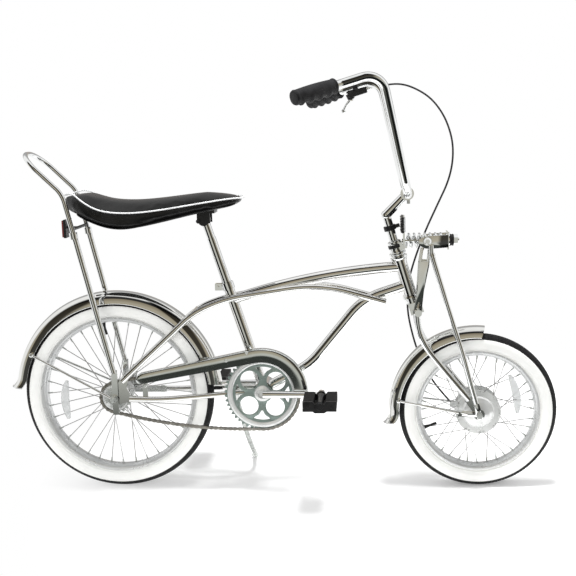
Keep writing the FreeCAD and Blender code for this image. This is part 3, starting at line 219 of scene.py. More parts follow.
class Groups:
    """Node groups that several finishes share, each built once."""

    def __init__(self) -> None:
        """Build the groups."""
        self.cloud = self._cloud()
        self.grain = self._grain()

    @staticmethod
    def _new(name: str, outputs: dict[str, str], inputs: dict[str, float]) -> bpy.types.NodeTree:
        """Start a group with its sockets.

        Args:
            name: The group's name.
            outputs: Output names and socket types.
            inputs: Float inputs with their defaults.

        Returns:
            The empty group.
        """
        tree = bpy.data.node_groups.new(name, "ShaderNodeTree")
        tree.interface.new_socket("Vector", in_out="INPUT", socket_type="NodeSocketVector")
        for label, value in inputs.items():
            made = tree.interface.new_socket(label, in_out="INPUT", socket_type="NodeSocketFloat")
            made.default_value = value
        for label, kind in outputs.items():
            tree.interface.new_socket(label, in_out="OUTPUT", socket_type=kind)
        return tree

    def _cloud(self) -> bpy.types.NodeTree:
        """Soft large patches for dust, polish and fading."""
        tree = self._new("soft_patches", {"Mask": "NodeSocketFloat"},
                         {"Scale": 12.0, "Low": 0.35, "High": 0.65})
        ends = tree.nodes.new("NodeGroupInput"), tree.nodes.new("NodeGroupOutput")
        clouds = tree.nodes.new("ShaderNodeTexNoise")
        clouds.inputs["Detail"].default_value = 4.0
        ranged = tree.nodes.new("ShaderNodeMapRange")
        links = tree.links
        links.new(ends[0].outputs["Vector"], clouds.inputs["Vector"])
        links.new(ends[0].outputs["Scale"], clouds.inputs["Scale"])
        links.new(clouds.outputs["Fac"], ranged.inputs["Value"])
        links.new(ends[0].outputs["Low"], ranged.inputs["From Min"])
        links.new(ends[0].outputs["High"], ranged.inputs["From Max"])
        links.new(ranged.outputs["Result"], ends[1].inputs["Mask"])
        return tree

    def _grain(self) -> bpy.types.NodeTree:
        """Pebbled grain as a normal, for vinyl and rubber."""
        tree = self._new("pebble_grain", {"Normal": "NodeSocketVector"},
                         {"Scale": 900.0, "Strength": 0.3, "Depth": 0.0003})
        ends = tree.nodes.new("NodeGroupInput"), tree.nodes.new("NodeGroupOutput")
        cells = tree.nodes.new("ShaderNodeTexVoronoi")
        cells.feature = "SMOOTH_F1"
        bump = tree.nodes.new("ShaderNodeBump")
        links = tree.links
        links.new(ends[0].outputs["Vector"], cells.inputs["Vector"])
        links.new(ends[0].outputs["Scale"], cells.inputs["Scale"])
        links.new(cells.outputs["Distance"], bump.inputs["Height"])
        links.new(ends[0].outputs["Strength"], bump.inputs["Strength"])
        links.new(ends[0].outputs["Depth"], bump.inputs["Distance"])
        links.new(bump.outputs["Normal"], ends[1].inputs["Normal"])
        return tree


# Finishes


@dataclass(frozen=True)
class Plated:
    """Bright plated or polished metal with faint patches of haze."""

    name: str
    bright: Colour = (0.91, 0.92, 0.92)
    hazy: Colour = (0.82, 0.83, 0.82)
    smooth: float = 0.025
    rough: float = 0.08
    patch: float = 22.0
    ripple: float = 0.0
    ripple_scale: float = 60.0
    metal: float = 1.0

    def build(self, groups: Groups) -> bpy.types.Material:
        """Make the material."""
        shader = Shader(self.name)
        shader.constant(Metallic=self.metal)
        patches = shader.group(groups.cloud, Scale=self.patch).outputs["Mask"]
        shader.link(shader.mix(patches, self.bright, self.hazy),
                    shader.surface.inputs["Base Color"])
        shader.link(shader.spread(patches, self.smooth, self.rough),
                    shader.surface.inputs["Roughness"])
        if self.ripple:
            grain = shader.group(groups.grain, Scale=self.ripple_scale, Strength=self.ripple,
                                 Depth=0.0004)
            shader.link(grain.outputs["Normal"], shader.surface.inputs["Normal"])
        return shader.material


@dataclass(frozen=True)
class Moulded:
    """Rubber, vinyl or plastic with pebbled grain and worn patches."""

    name: str
    dark: Colour
    worn: Colour
    smooth: float
    rough: float
    patch: float = 18.0
    grain: float = 900.0
    relief: float = 0.25
    depth: float = 0.0003
    sheen: float = 0.0

    def build(self, groups: Groups) -> bpy.types.Material:
        """Make the material."""
        shader = Shader(self.name)
        shader.constant(Sheen_Weight=self.sheen, Specular_IOR_Level=0.3)
        patches = shader.group(groups.cloud, Scale=self.patch).outputs["Mask"]
        shader.link(shader.mix(patches, self.dark, self.worn),
                    shader.surface.inputs["Base Color"])
        shader.link(shader.spread(patches, self.smooth, self.rough),
                    shader.surface.inputs["Roughness"])
        grain = shader.group(groups.grain, Scale=self.grain, Strength=self.relief,
                             Depth=self.depth)
        shader.link(grain.outputs["Normal"], shader.surface.inputs["Normal"])
        return shader.material


@dataclass(frozen=True)
class Lens:
    """A moulded reflector lens with a fine prism pattern."""

    name: str
    light: Colour
    deep: Colour
    transmission: float
    prism: float = 520.0

    def build(self, groups: Groups) -> bpy.types.Material:
        """Make the material."""
        shader = Shader(self.name)
        shader.constant(Roughness=0.16, Coat_Weight=0.8, Coat_Roughness=0.05, IOR=1.49,
                        Transmission_Weight=self.transmission)
        cells = shader.node("ShaderNodeTexVoronoi", feature="F1", distance="CHEBYCHEV")
        cells.inputs["Scale"].default_value = self.prism
        cells.inputs["Randomness"].default_value = 0.0
        shader.link(shader.coords, cells.inputs["Vector"])
        shader.link(shader.mix(cells.outputs["Distance"], self.light, self.deep),
                    shader.surface.inputs["Base Color"])
        bump = shader.node("ShaderNodeBump")
        bump.inputs["Strength"].default_value = 0.8
        bump.inputs["Distance"].default_value = 0.0006
        shader.link(cells.outputs["Distance"], bump.inputs["Height"])
        shader.link(bump.outputs["Normal"], shader.surface.inputs["Normal"])
        return shader.material


@dataclass
class Finishes:
    """Every material of the bicycle, by the thing it covers."""

    chrome: bpy.types.Material
    fender: bpy.types.Material
    frame_chrome: bpy.types.Material
    ring_plate: bpy.types.Material
    guard: bpy.types.Material
    rim: bpy.types.Material
    spoke: bpy.types.Material
    hub: bpy.types.Material
    zinc: bpy.types.Material
    chain: bpy.types.Material
    tread: bpy.types.Material
    white_wall: bpy.types.Material
    vinyl: bpy.types.Material
    piping: bpy.types.Material
    grip: bpy.types.Material
    rubber: bpy.types.Material
    plastic: bpy.types.Material
    cable: bpy.types.Material
    red_lens: bpy.types.Material
    clear_lens: bpy.types.Material

    @classmethod
    def build(cls) -> "Finishes":
        """Make every material once."""
        groups = Groups()
        kinds = {
            "chrome": Plated("bright_chrome"),
            "fender": Plated("fender_chrome", (0.82, 0.82, 0.80), (0.75, 0.75, 0.72), 0.03, 0.08,
                             10.0, 0.08, 6.0),
            "frame_chrome": Plated("tube_chrome", (0.90, 0.90, 0.89), (0.80, 0.80, 0.78),
                                   0.03, 0.09, 14.0),
            "ring_plate": Plated("ring_nickel", (0.26, 0.32, 0.29), (0.21, 0.26, 0.24),
                                 0.24, 0.38, 30.0, 0.05, 80.0, 0.45),
            "guard": Plated("guard_chrome", (0.80, 0.82, 0.81), (0.72, 0.74, 0.72), 0.05, 0.12,
                            18.0, 0.10, 14.0),
            "rim": Plated("rim_steel", (0.68, 0.69, 0.69), (0.60, 0.61, 0.61), 0.20, 0.34, 26.0,
                          metal=0.5),
            "spoke": Plated("spoke_steel", (0.60, 0.60, 0.60), (0.48, 0.48, 0.48),
                            0.18, 0.36, 60.0),
            "hub": Plated("hub_shell", (0.80, 0.81, 0.80), (0.68, 0.69, 0.68), 0.14, 0.28, 40.0,
                          metal=0.45),
            "zinc": Plated("zinc_plate", (0.62, 0.64, 0.62), (0.46, 0.48, 0.46),
                           0.20, 0.38, 70.0, 0.12, 300.0, 0.6),
            "chain": Plated("oiled_chain", (0.46, 0.44, 0.40), (0.26, 0.25, 0.23),
                            0.24, 0.46, 90.0, 0.15, 700.0),
            "tread": Moulded("tread_rubber", (0.010, 0.010, 0.011), (0.022, 0.022, 0.022),
                             0.62, 0.82, 30.0, 1500.0, 0.35),
            "white_wall": Moulded("white_wall_rubber", (0.92, 0.92, 0.895), (0.87, 0.875, 0.85),
                                  0.42, 0.56, 9.0, 1400.0, 0.12),
            "vinyl": Moulded("saddle_vinyl", (0.004, 0.004, 0.004), (0.009, 0.009, 0.009),
                             0.30, 0.42, 16.0, 620.0, 0.30, 0.0004, 0.05),
            "piping": Moulded("saddle_piping", (0.84, 0.85, 0.85), (0.76, 0.77, 0.77),
                              0.32, 0.45, 40.0, 900.0, 0.1),
            "grip": Moulded("grip_rubber", (0.010, 0.010, 0.011), (0.022, 0.022, 0.023),
                            0.48, 0.66, 60.0, 1100.0, 0.4),
            "rubber": Moulded("pedal_rubber", (0.010, 0.010, 0.010), (0.024, 0.023, 0.022),
                              0.50, 0.74, 60.0, 900.0, 0.4),
            "plastic": Moulded("black_mouldings", (0.008, 0.008, 0.009), (0.016, 0.016, 0.016),
                               0.28, 0.42, 50.0, 1600.0, 0.12),
            "cable": Moulded("cable_housing", (0.016, 0.016, 0.017), (0.028, 0.028, 0.029),
                             0.34, 0.5, 40.0, 1800.0, 0.1),
            "red_lens": Lens("red_lens", (0.20, 0.006, 0.008), (0.05, 0.001, 0.002), 0.0),
            "clear_lens": Lens("clear_lens", (0.90, 0.91, 0.91), (0.66, 0.68, 0.68), 0.45),
        }
        return cls(**{name: kind.build(groups) for name, kind in kinds.items()})


# Mesh building


@dataclass
class Workshop:
    """Shapes meshes in upright millimetres and hands them over as finished pieces."""

    layout: Layout
    finishes: Finishes
    made: list[str] = field(default_factory=list)

    def finish(
        self,
        bm: bmesh.types.BMesh,
        name: str,
        material: bpy.types.Material,
        body: Body,
        slot: Slot,
        replaced: Sequence[str] = (),
        sharp: float = 35.0,
        bevel: float = 0.0,
        levels: int = 0,
        wall: float = 0.0,
    ) -> bpy.types.Object:
        """Turn a mesh in the making into a piece that rides on a body.

        Args:
            bm: The mesh in upright millimetres; it is freed.
            name: The piece's name.
            material: Its finish.
            body: The body that carries it.
            slot: The record's slot for the piece; not used.
            replaced: Nodes of the frame that it stands for.
            sharp: Edges turning more than this many degrees stay sharp.
            bevel: Width in millimetres of a rounding on its sharp edges.
            levels: Levels of subdivision.
            wall: Thickness in millimetres given to an open skin.

        Returns:
            The finished object.
        """
        bmesh.ops.remove_doubles(bm, verts=bm.verts, dist=0.001)
        bmesh.ops.recalc_face_normals(bm, faces=bm.faces)
        limit = math.radians(sharp)
        for face in bm.faces:
            face.smooth = True
        for edge in bm.edges:
            edge.smooth = len(edge.link_faces) == 2 and edge.calc_face_angle(0.0) < limit
        bm.transform(self.layout.to_scene)
        mesh = bpy.data.meshes.new(name)
        bm.to_mesh(mesh)
        bm.free()
        mesh.materials.append(material)
        piece = bpy.data.objects.new(name, mesh)
        bpy.context.scene.collection.objects.link(piece)
        if wall:
            skin = piece.modifiers.new("wall", "SOLIDIFY")
            skin.thickness = wall * MM
            skin.offset = 0.0
        if bevel:
            rounding = piece.modifiers.new("rounding", "BEVEL")
            rounding.width = bevel * MM
            rounding.segments = 2
            rounding.limit_method = "ANGLE"
            rounding.angle_limit = limit
            rounding.harden_normals = True
        if levels:
            subdivide = piece.modifiers.new("subdivide", "SUBSURF")
            subdivide.levels = levels
            subdivide.render_levels = levels
        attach(piece, body.value)
        if replaced:
            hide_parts(*replaced)
        self.made.append(name)
        LOG.info("%s: %d faces on %s", name, len(mesh.polygons), body.value)
        return piece

    @staticmethod
    def facing(start: Vector, end: Vector) -> Matrix:
        """A matrix at the middle of two points whose Z looks from one to the other."""
        turn = (end - start).to_track_quat("Z", "Y").to_matrix().to_4x4()
        return Matrix.Translation((start + end) / 2.0) @ turn

    def rod(
        self,
        bm: bmesh.types.BMesh,
        start: Vector,
        end: Vector,
        radius: float,
        far_radius: float | None = None,
        sides: int = 24,
    ) -> None:
        """Add a straight or tapered bar."""
        far = radius if far_radius is None else far_radius
        bmesh.ops.create_cone(
            bm, cap_ends=True, segments=sides, radius1=radius, radius2=far,
            depth=(end - start).length, matrix=self.facing(start, end),
        )

    def ball(
        self, bm: bmesh.types.BMesh, centre: Vector, radius: float, rings: int = 12
    ) -> list[bmesh.types.BMVert]:
        """Add a ball."""
        made = bmesh.ops.create_uvsphere(
            bm, u_segments=rings * 2, v_segments=rings, radius=radius,
            matrix=Matrix.Translation(centre),
        )
        return made["verts"]

    def block(
        self, bm: bmesh.types.BMesh, centre: Vector, sizes: Point, turn: Matrix | None = None
    ) -> None:
        """Add a box by its centre and its three sizes."""
        scale = Matrix.Diagonal((*sizes, 1.0))
        place = Matrix.Translation(centre) @ (turn or Matrix.Identity(4)) @ scale
        bmesh.ops.create_cube(bm, size=1.0, matrix=place)

    def turned(
        self,
        bm: bmesh.types.BMesh,
        profile: Iterable[tuple[float, float]],
        place: Matrix,
        steps: int = 48,
        closed: bool = False,
    ) -> list[bmesh.types.BMVert]:
        """Turn a profile of (radius, across) about Y, then put it in place.

        Args:
            bm: The mesh to add to.
            profile: Corners as radius and height along the axis.
            place: The matrix that puts the turned form in place.
            steps: Steps round the turn.
            closed: Whether the profile joins up with its start.

        Returns:
            The corners of the turned form.
        """
        before = set(bm.verts)
        corners = [bm.verts.new((radius, across, 0.0)) for radius, across in profile]
        pairs = list(zip(corners, corners[1:]))
        if closed:
            pairs.append((corners[-1], corners[0]))
        edges = [bm.edges.new(pair) for pair in pairs]
        bmesh.ops.spin(
            bm, geom=corners + edges, cent=(0.0, 0.0, 0.0), axis=(0.0, 1.0, 0.0),
            dvec=(0.0, 0.0, 0.0), angle=-2.0 * math.pi, steps=steps, use_merge=True,
            use_duplicate=False,
        )
        added = [vert for vert in bm.verts if vert not in before]
        bmesh.ops.transform(bm, matrix=place, verts=added)
        return added

    @staticmethod
    def _take(bm: bmesh.types.BMesh, curve: bpy.types.Curve, place: Matrix | None = None) -> None:
        """Add a curve's mesh, moved by place, through an object that is removed again."""
        holder = bpy.data.objects.new(curve.name, curve)
        bpy.context.scene.collection.objects.link(holder)
        bpy.context.view_layer.update()
        mesh = bpy.data.meshes.new_from_object(holder)
        if place is not None:
            mesh.transform(place)
        bm.from_mesh(mesh)
        bpy.data.objects.remove(holder)
        bpy.data.meshes.remove(mesh)

    def swept(
        self, bm: bmesh.types.BMesh, points: Sequence[Vector], radius: float,
        sides: int = 5, closed: bool = False,
    ) -> None:
        """Add a round tube that follows points on a smooth line."""
        line = bpy.data.curves.new("line", "CURVE")
        line.dimensions = "3D"
        line.bevel_depth = radius
        line.bevel_resolution = sides
        line.resolution_u = 6
        line.use_fill_caps = not closed
        spline = line.splines.new("NURBS")
        spline.points.add(len(points) - 1)
        for knot, point in zip(spline.points, points):
            knot.co = (*point, 1.0)
        spline.use_endpoint_u = not closed
        spline.use_cyclic_u = closed
        spline.order_u = 3
        self._take(bm, line)

    def cut_plate(
        self,
        bm: bmesh.types.BMesh,
        outlines: Sequence[Sequence[tuple[float, float]]],
        thickness: float,
        place: Matrix,
        edge: float = 0.0,
    ) -> None:
        """Add a flat plate with openings, drawn in its own XZ plane.

        Args:
            bm: The mesh to add to.
            outlines: The outer outline first, then those of the openings.
            thickness: The plate's thickness across Y.
            place: The matrix that puts the plate in place.
            edge: Width of the rounding on its edges.
        """
        flat = bpy.data.curves.new("flat", "CURVE")
        flat.dimensions = "2D"
        flat.fill_mode = "BOTH"
        flat.extrude = thickness / 2.0 - edge
        flat.bevel_depth = edge
        flat.bevel_resolution = 1 if edge else 0
        flat.offset = -edge
        for outline in outlines:
            spline = flat.splines.new("POLY")
            spline.points.add(len(outline) - 1)
            for knot, (x, z) in zip(spline.points, outline):
                knot.co = (x, z, 0.0, 1.0)
            spline.use_cyclic_u = True
        self._take(bm, flat, place @ Matrix.Rotation(math.radians(90.0), 4, "X"))

    def bridged(
        self, bm: bmesh.types.BMesh, rings: Sequence[Sequence[Vector]], closed: bool = True
    ) -> None:
        """Add a skin through rings of points; a closed one gets its two ends filled."""
        rows = [[bm.verts.new(point) for point in ring] for ring in rings]
        count = len(rows[0])
        last = count if closed else count - 1
        for before, after in zip(rows, rows[1:]):
            for index in range(last):
                other = (index + 1) % count
                bm.faces.new((before[index], before[other], after[other], after[index]))
        if closed:
            bm.faces.new(list(reversed(rows[0])))
            bm.faces.new(rows[-1])

    def nut(
        self, bm: bmesh.types.BMesh, seat: Vector, axis: Vector, across: float, thick: float,
        dome: float = 0.0,
    ) -> None:
        """Add a hexagonal nut on a seat, with a domed cap where dome is above nothing."""
        self.rod(bm, seat, seat + axis * thick, across / math.sqrt(3.0), sides=6)
        if dome:
            low = seat + axis * thick
            verts = self.ball(bm, low, across * 0.46, 8)
            squeeze = dome / (across * 0.46)
            for vert in verts:
                rise = (vert.co - low).dot(axis)
                vert.co += axis * (max(rise, -0.5) * squeeze - rise)


def polar(radius: float, degrees: float) -> tuple[float, float]:
    """A point of a circle in the XZ plane."""
    angle = math.radians(degrees)
    return radius * math.cos(angle), radius * math.sin(angle)


def arc_points(
    radius: float, start: float, end: float, steps: int, centre: tuple[float, float] = (0.0, 0.0)
) -> list[tuple[float, float]]:
    """Points along an arc, from one angle in degrees to another."""
    points = []
    for step in range(steps + 1):
        x, z = polar(radius, start + (end - start) * step / steps)
        points.append((centre[0] + x, centre[1] + z))
    return points


def mirrored(points: Sequence[tuple[float, float]]) -> list[tuple[float, float]]:
    """The points in turned order, on the other side of the first axis."""
    return [(along, -across) for along, across in reversed(points)]


def aligned(start: Vector, end: Vector, out: float = 0.0) -> Matrix:
    """A matrix at start whose X looks at end within the XZ plane, moved out along Y."""
    way = end - start
    turn = Matrix.Rotation(-math.atan2(way.z, way.x), 4, "Y")
    return Matrix.Translation(start + Vector((0.0, out, 0.0))) @ turn


# Wheels


@dataclass
class Wheel:
    """A rim, a whitewall tyre, spoke nipples, spoke heads, valve and spoke reflector."""

    shop: Workshop
    name: str
    body: Body
    centre: Vector
    radius: float
    casing: float
    rim_seat: float
    wall_angle: float
    flange_radius: float
    flange_place: float
    valve_angle: float
    reflector_radius: float
    reflector_angle: float
    block_count: int
    spoke_count: int = 36
    reflector_lean: float = 0.0
    rim_half: float = 18.5
    rim_depth: float = 7.5
    tread_height: float = 1.2

    @property
    def place(self) -> Matrix:
        """The wheel's own place."""
        return Matrix.Translation(self.centre)

    def arc(self, start: float, end: float, steps: int, offset: float = 0.0) -> list:
        """Points of the tyre's section between two angles from straight out."""
        middle = (self.radius - self.casing, 0.0)
        return arc_points(self.casing + offset, start, end, steps, middle)

    def build(self) -> None:
        """Make every piece of the wheel."""
        self._rim()
        self._casing()
        self._tread()
        self._spoke_ends()
        self._valve()
        self._reflector()

    def _rim(self) -> None:
        """The slim rim with its hooked edges and a groove beside each edge."""
        half, seat = self.rim_half, self.rim_seat
        inner = seat - self.rim_depth
        side = [(seat + 6.4, half - 2.6), (seat + 6.8, half - 1.0), (seat + 6.0, half),
                (seat + 4.2, half + 0.2), (seat - 0.5, half - 0.4), (seat - 2.6, half - 2.2),
                (inner + 1.2, half * 0.55), (inner, half * 0.4)]
        floor = [(seat - 4.0, half * 0.35), (seat, half * 0.6), (seat, half - 2.8)]
        bm = bmesh.new()
        self.shop.turned(bm, side + mirrored(side) + mirrored(floor) + floor, self.place, 120,
                         closed=True)
        self.shop.finish(bm, f"{self.name}_rim_shell", self.shop.finishes.rim, self.body,
                         Slot.CHROME, (f"{self.name}_rim",))

    def _casing(self) -> None:
        """The white casing, with moulded rings beside the tread and the bead."""
        middle = self.radius - self.casing
        bead_angle = math.degrees(math.acos((self.rim_seat + 9.0 - middle) / self.casing))
        side = self.wall_angle
        bead = self.rim_half - 3.2
        outward = [(self.rim_seat + 1.0, bead), (self.rim_seat + 7.0, bead + 0.6)]
        wall = self.arc(bead_angle, bead_angle - 9.0, 2)
        ring = self.arc(bead_angle - 10.5, bead_angle - 13.5, 2, 0.55)
        wall += ring + self.arc(bead_angle - 15.0, side + 9.0, 8)
        wall += self.arc(side + 8.2, side + 5.6, 2, 0.5) + self.arc(side + 5.0, side, 2)
        crown = self.arc(side - 1.5, 0.0, 6, -self.tread_height - 0.3)
        half = outward + wall + crown
        bm = bmesh.new()
        self.shop.turned(bm, half + mirrored(half[:-1]), self.place, 128)
        self.shop.finish(bm, f"{self.name}_white_wall", self.shop.finishes.white_wall, self.body,
                         Slot.TYRE, (f"{self.name}_tyre",))

    def _tread(self) -> None:
        """The black cap of the tyre with rows of small raised blocks."""
        top = self.arc(self.wall_angle, -self.wall_angle, 8, -self.tread_height)
        under = self.arc(-self.wall_angle - 0.5, self.wall_angle + 0.5, 8,
                         -self.tread_height - 1.2)
        bm = bmesh.new()
        self.shop.turned(bm, top + under, self.place, self.block_count, closed=True)
        middle = self.radius - self.casing
        lugs = []
        for face in bm.faces:
            spot = face.calc_center_median() - self.centre
            round_reach = math.hypot(spot.x, spot.z) - middle
            if math.hypot(round_reach, spot.y) > self.casing - self.tread_height - 0.4:
                lugs.append(face)
        bmesh.ops.recalc_face_normals(bm, faces=bm.faces)
        bmesh.ops.inset_individual(bm, faces=lugs, thickness=0.9, depth=self.tread_height)
        self.shop.finish(bm, f"{self.name}_tread", self.shop.finishes.tread, self.body,
                         Slot.TYRE, (f"{self.name}_tyre",), sharp=50.0)

    def spoke_lines(self) -> Iterable[tuple[Vector, Vector]]:
        """The flange end and rim end of every spoke."""
        hole = self.flange_radius - 3.5
        rim = self.rim_seat - self.rim_depth
        for index in range(self.spoke_count):
            side = 1 if index % 2 == 0 else -1
            lead = 1 if (index // 2) % 2 == 0 else -1
            rim_angle = 360.0 * index / self.spoke_count
            hub_angle = rim_angle + lead * 360.0 / self.spoke_count * 2.6
            x_hub, z_hub = polar(hole, hub_angle)
            x_rim, z_rim = polar(rim, rim_angle)
            offset = self.flange_place + lead * 4.0
            yield (self.centre + Vector((x_hub, side * offset, z_hub)),
                   self.centre + Vector((x_rim, side * 2.0, z_rim)))

    def _spoke_ends(self) -> None:
        """Nipples at the rim and round heads at the flanges."""
        nipples = bmesh.new()
        heads = bmesh.new()
        for hub_end, rim_end in self.spoke_lines():
            way = (hub_end - rim_end).normalized()
            self.shop.rod(nipples, rim_end, rim_end + way * 11.0, 2.3, 1.8, 6)
            across = Vector((0.0, 1.0 if hub_end.y > 0 else -1.0, 0.0))
            flat = Vector((hub_end.x, 0.0, hub_end.z)) + across * (self.flange_place + 1.3)
            self.shop.rod(heads, flat, flat + across * 2.0, 2.4, 1.5, 8)
        self.shop.finish(nipples, f"{self.name}_nipples", self.shop.finishes.zinc, self.body,
                         Slot.ZINC)
        self.shop.finish(heads, f"{self.name}_spoke_heads", self.shop.finishes.zinc, self.body,
                         Slot.ZINC)

    def _valve(self) -> None:
        """The rubber valve stem with its cap."""
        bm = bmesh.new()
        x, z = polar(1.0, self.valve_angle)
        way = Vector((-x, 0.0, -z))
        foot = self.centre - way * (self.rim_seat - self.rim_depth)
        self.shop.rod(bm, foot, foot + way * 10.0, 5.4, 3.6, 16)
        self.shop.rod(bm, foot + way * 10.0, foot + way * 24.0, 3.2, sides=16)
        self.shop.rod(bm, foot + way * 22.0, foot + way * 33.0, 4.2, 3.6, 12)
        self.shop.finish(bm, f"{self.name}_valve", self.shop.finishes.plastic, self.body,
                         Slot.PLASTIC)

    def _reflector(self) -> None:
        """The clear reflector clipped between the spokes."""
        bm = bmesh.new()
        bmesh.ops.create_cube(bm, size=1.0)
        bmesh.ops.subdivide_edges(
            bm, edges=[edge for edge in bm.edges
                       if abs((edge.verts[0].co - edge.verts[1].co).z) > 0.5],
            cuts=8, use_grid_fill=True,
        )
        for vert in bm.verts:
            reach = vert.co.z * 2.0
            vert.co.x *= 21.0 * math.sqrt(max(1.0 - 0.86 * reach * reach, 0.0))
            vert.co.x -= 7.0 * reach * reach
            vert.co.y *= 8.0
            vert.co.z *= 104.0
        x, z = polar(self.reflector_radius, self.reflector_angle)
        turn = Matrix.Rotation(-math.radians(self.reflector_angle + self.reflector_lean), 4, "Y")
        place = Matrix.Translation(self.centre + Vector((x, -9.0, z))) @ turn
        bmesh.ops.transform(bm, matrix=place, verts=bm.verts)
        self.shop.finish(bm, f"{self.name}_spoke_reflector", self.shop.finishes.clear_lens,
                         self.body, Slot.CLEAR, bevel=1.2)


# Drive


@dataclass
class Drive:
    """Chain, chainring, sprocket disc, chain guard and pedals."""

    shop: Workshop
    ring_teeth: int = 48
    cog_teeth: int = 20
    pitch: float = 12.7
    line: float = -45.0
    sag: float = 14.0
    plate_reach: float = 4.2

    def build(self) -> None:
        """Make every piece of the drive."""
        self._chain()
        self._ring()
        self._sprocket()
        self._guard()
        for side, word, body in ((-1.0, "right", Body.RIGHT_PEDAL), (1.0, "left", Body.LEFT_PEDAL)):
            self._pedal(word, side, body)

    def pitch_radius(self, teeth: int) -> float:
        """Pitch radius of a sprocket."""
        return self.pitch / (2.0 * math.sin(math.pi / teeth))

    def chain_pins(self) -> list[Vector]:
        """Pin centres, evenly spaced round both sprockets."""
        bracket = self.shop.layout.bracket
        ring = self.pitch_radius(self.ring_teeth)
        cog = self.pitch_radius(self.cog_teeth)
        slope = math.atan2(bracket.z, bracket.x)
        dip = math.asin((ring - cog) / math.hypot(bracket.x, bracket.z))
        top, bottom = slope + math.pi / 2 + dip, slope - math.pi / 2 - dip
        steps = 60
        dense = []
        for step in range(steps + 1):
            angle = bottom + (top - bottom) * step / steps
            dense.append((bracket.x + ring * math.cos(angle), bracket.z + ring * math.sin(angle)))
        for step in range(steps + 1):
            angle = top + (2 * math.pi - top + bottom) * step / steps
            dense.append((cog * math.cos(angle), cog * math.sin(angle)))
        last, first = dense[-1], dense[0]
        for step in range(1, steps):
            share = step / steps
            drop = 4.0 * self.sag * share * (1.0 - share)
            dense.append((last[0] + (first[0] - last[0]) * share,
                          last[1] + (first[1] - last[1]) * share - drop))
        dense.append(first)
        reached = [0.0]
        for before, after in zip(dense, dense[1:]):
            reached.append(reached[-1] + math.dist(before, after))
        links = 2 * round(reached[-1] / self.pitch / 2)
        pins = []
        cursor = 0
        for number in range(links):
            target = reached[-1] * number / links
            while reached[cursor + 1] < target:
                cursor += 1
            share = (target - reached[cursor]) / (reached[cursor + 1] - reached[cursor])
            low, high = dense[cursor], dense[cursor + 1]
            pins.append(Vector((low[0] + (high[0] - low[0]) * share, self.line,
                                low[1] + (high[1] - low[1]) * share)))
        return pins

    def _side_plate(self, bm: bmesh.types.BMesh, start: Vector, end: Vector, out: float) -> None:
        """Add one waisted side plate between two pins."""
        along = (end - start).normalized()
        upward = Vector((-along.z, 0.0, along.x))
        middle = (start + end) / 2.0
        half = (end - start).length / 2.0
        outline = []
        for degrees in (-115, -60, 0, 60, 115):
            x, z = polar(self.plate_reach, degrees)
            outline.append((half + x, z))
        outline.append((0.0, self.plate_reach * 0.66))
        outline += [(-x, z) for x, z in reversed(outline[:5])]
        outline.append((0.0, -self.plate_reach * 0.66))
        corners = [bm.verts.new(middle + along * x + upward * z + Vector((0.0, out - 0.55, 0.0)))
                   for x, z in outline]
        face = bm.faces.new(corners)
        grown = bmesh.ops.extrude_face_region(bm, geom=[face])
        verts = [item for item in grown["geom"] if isinstance(item, bmesh.types.BMVert)]
        bmesh.ops.translate(bm, vec=(0.0, 1.1, 0.0), verts=verts)

    def _chain(self) -> None:
        """The chain: alternate inner and outer links, rollers and pins."""
        bm = bmesh.new()
        pins = self.chain_pins()
        for index, pin in enumerate(pins):
            after = pins[(index + 1) % len(pins)]
            reach = 3.75 if index % 2 == 0 else 2.6
            for side in (-1.0, 1.0):
                self._side_plate(bm, pin, after, side * reach)
            self.shop.rod(bm, pin - Vector((0, 2.0, 0)), pin + Vector((0, 2.0, 0)), 3.7, sides=10)
            self.shop.rod(bm, pin - Vector((0, 4.9, 0)), pin + Vector((0, 4.9, 0)), 1.8, sides=6)
        self.shop.finish(bm, "chain_links", self.shop.finishes.chain, Body.FRAME, Slot.CHAIN,
                         ("chain",))

    def _teeth(self, count: int) -> list[tuple[float, float]]:
        """A sprocket's outline: a rounded root and a blunt tip for each tooth."""
        mean = self.pitch_radius(count)
        step = 360.0 / count
        points = []
        for index in range(count):
            middle = step * (index + 0.5)
            for share, offset in ((-0.40, -3.6), (-0.22, 0.4), (-0.10, 2.8), (0.10, 2.8),
                                  (0.22, 0.4), (0.40, -3.6)):
                points.append(polar(mean + offset, middle + share * step))
        return points

    def _window(self, turn: float) -> list[tuple[float, float]]:
        """A three-sided opening whose sides follow the round holes beside it."""
        rim = 71.0
        corner = polar(rim, 20.0)
        side = [corner, (rim * 0.905, corner[1] * 0.74), (rim * 0.835, corner[1] * 0.40),
                (rim * 0.745, 4.6), (rim * 0.66, 2.2)]
        points = arc_points(rim, -17.5, 17.5, 8) + [(rim * 0.985, corner[1])]
        points += side[1:] + mirrored(side[1:])
        points.append((rim * 0.985, -corner[1]))
        angle = math.radians(turn)
        return [(x * math.cos(angle) - z * math.sin(angle),
                 x * math.sin(angle) + z * math.cos(angle)) for x, z in points]

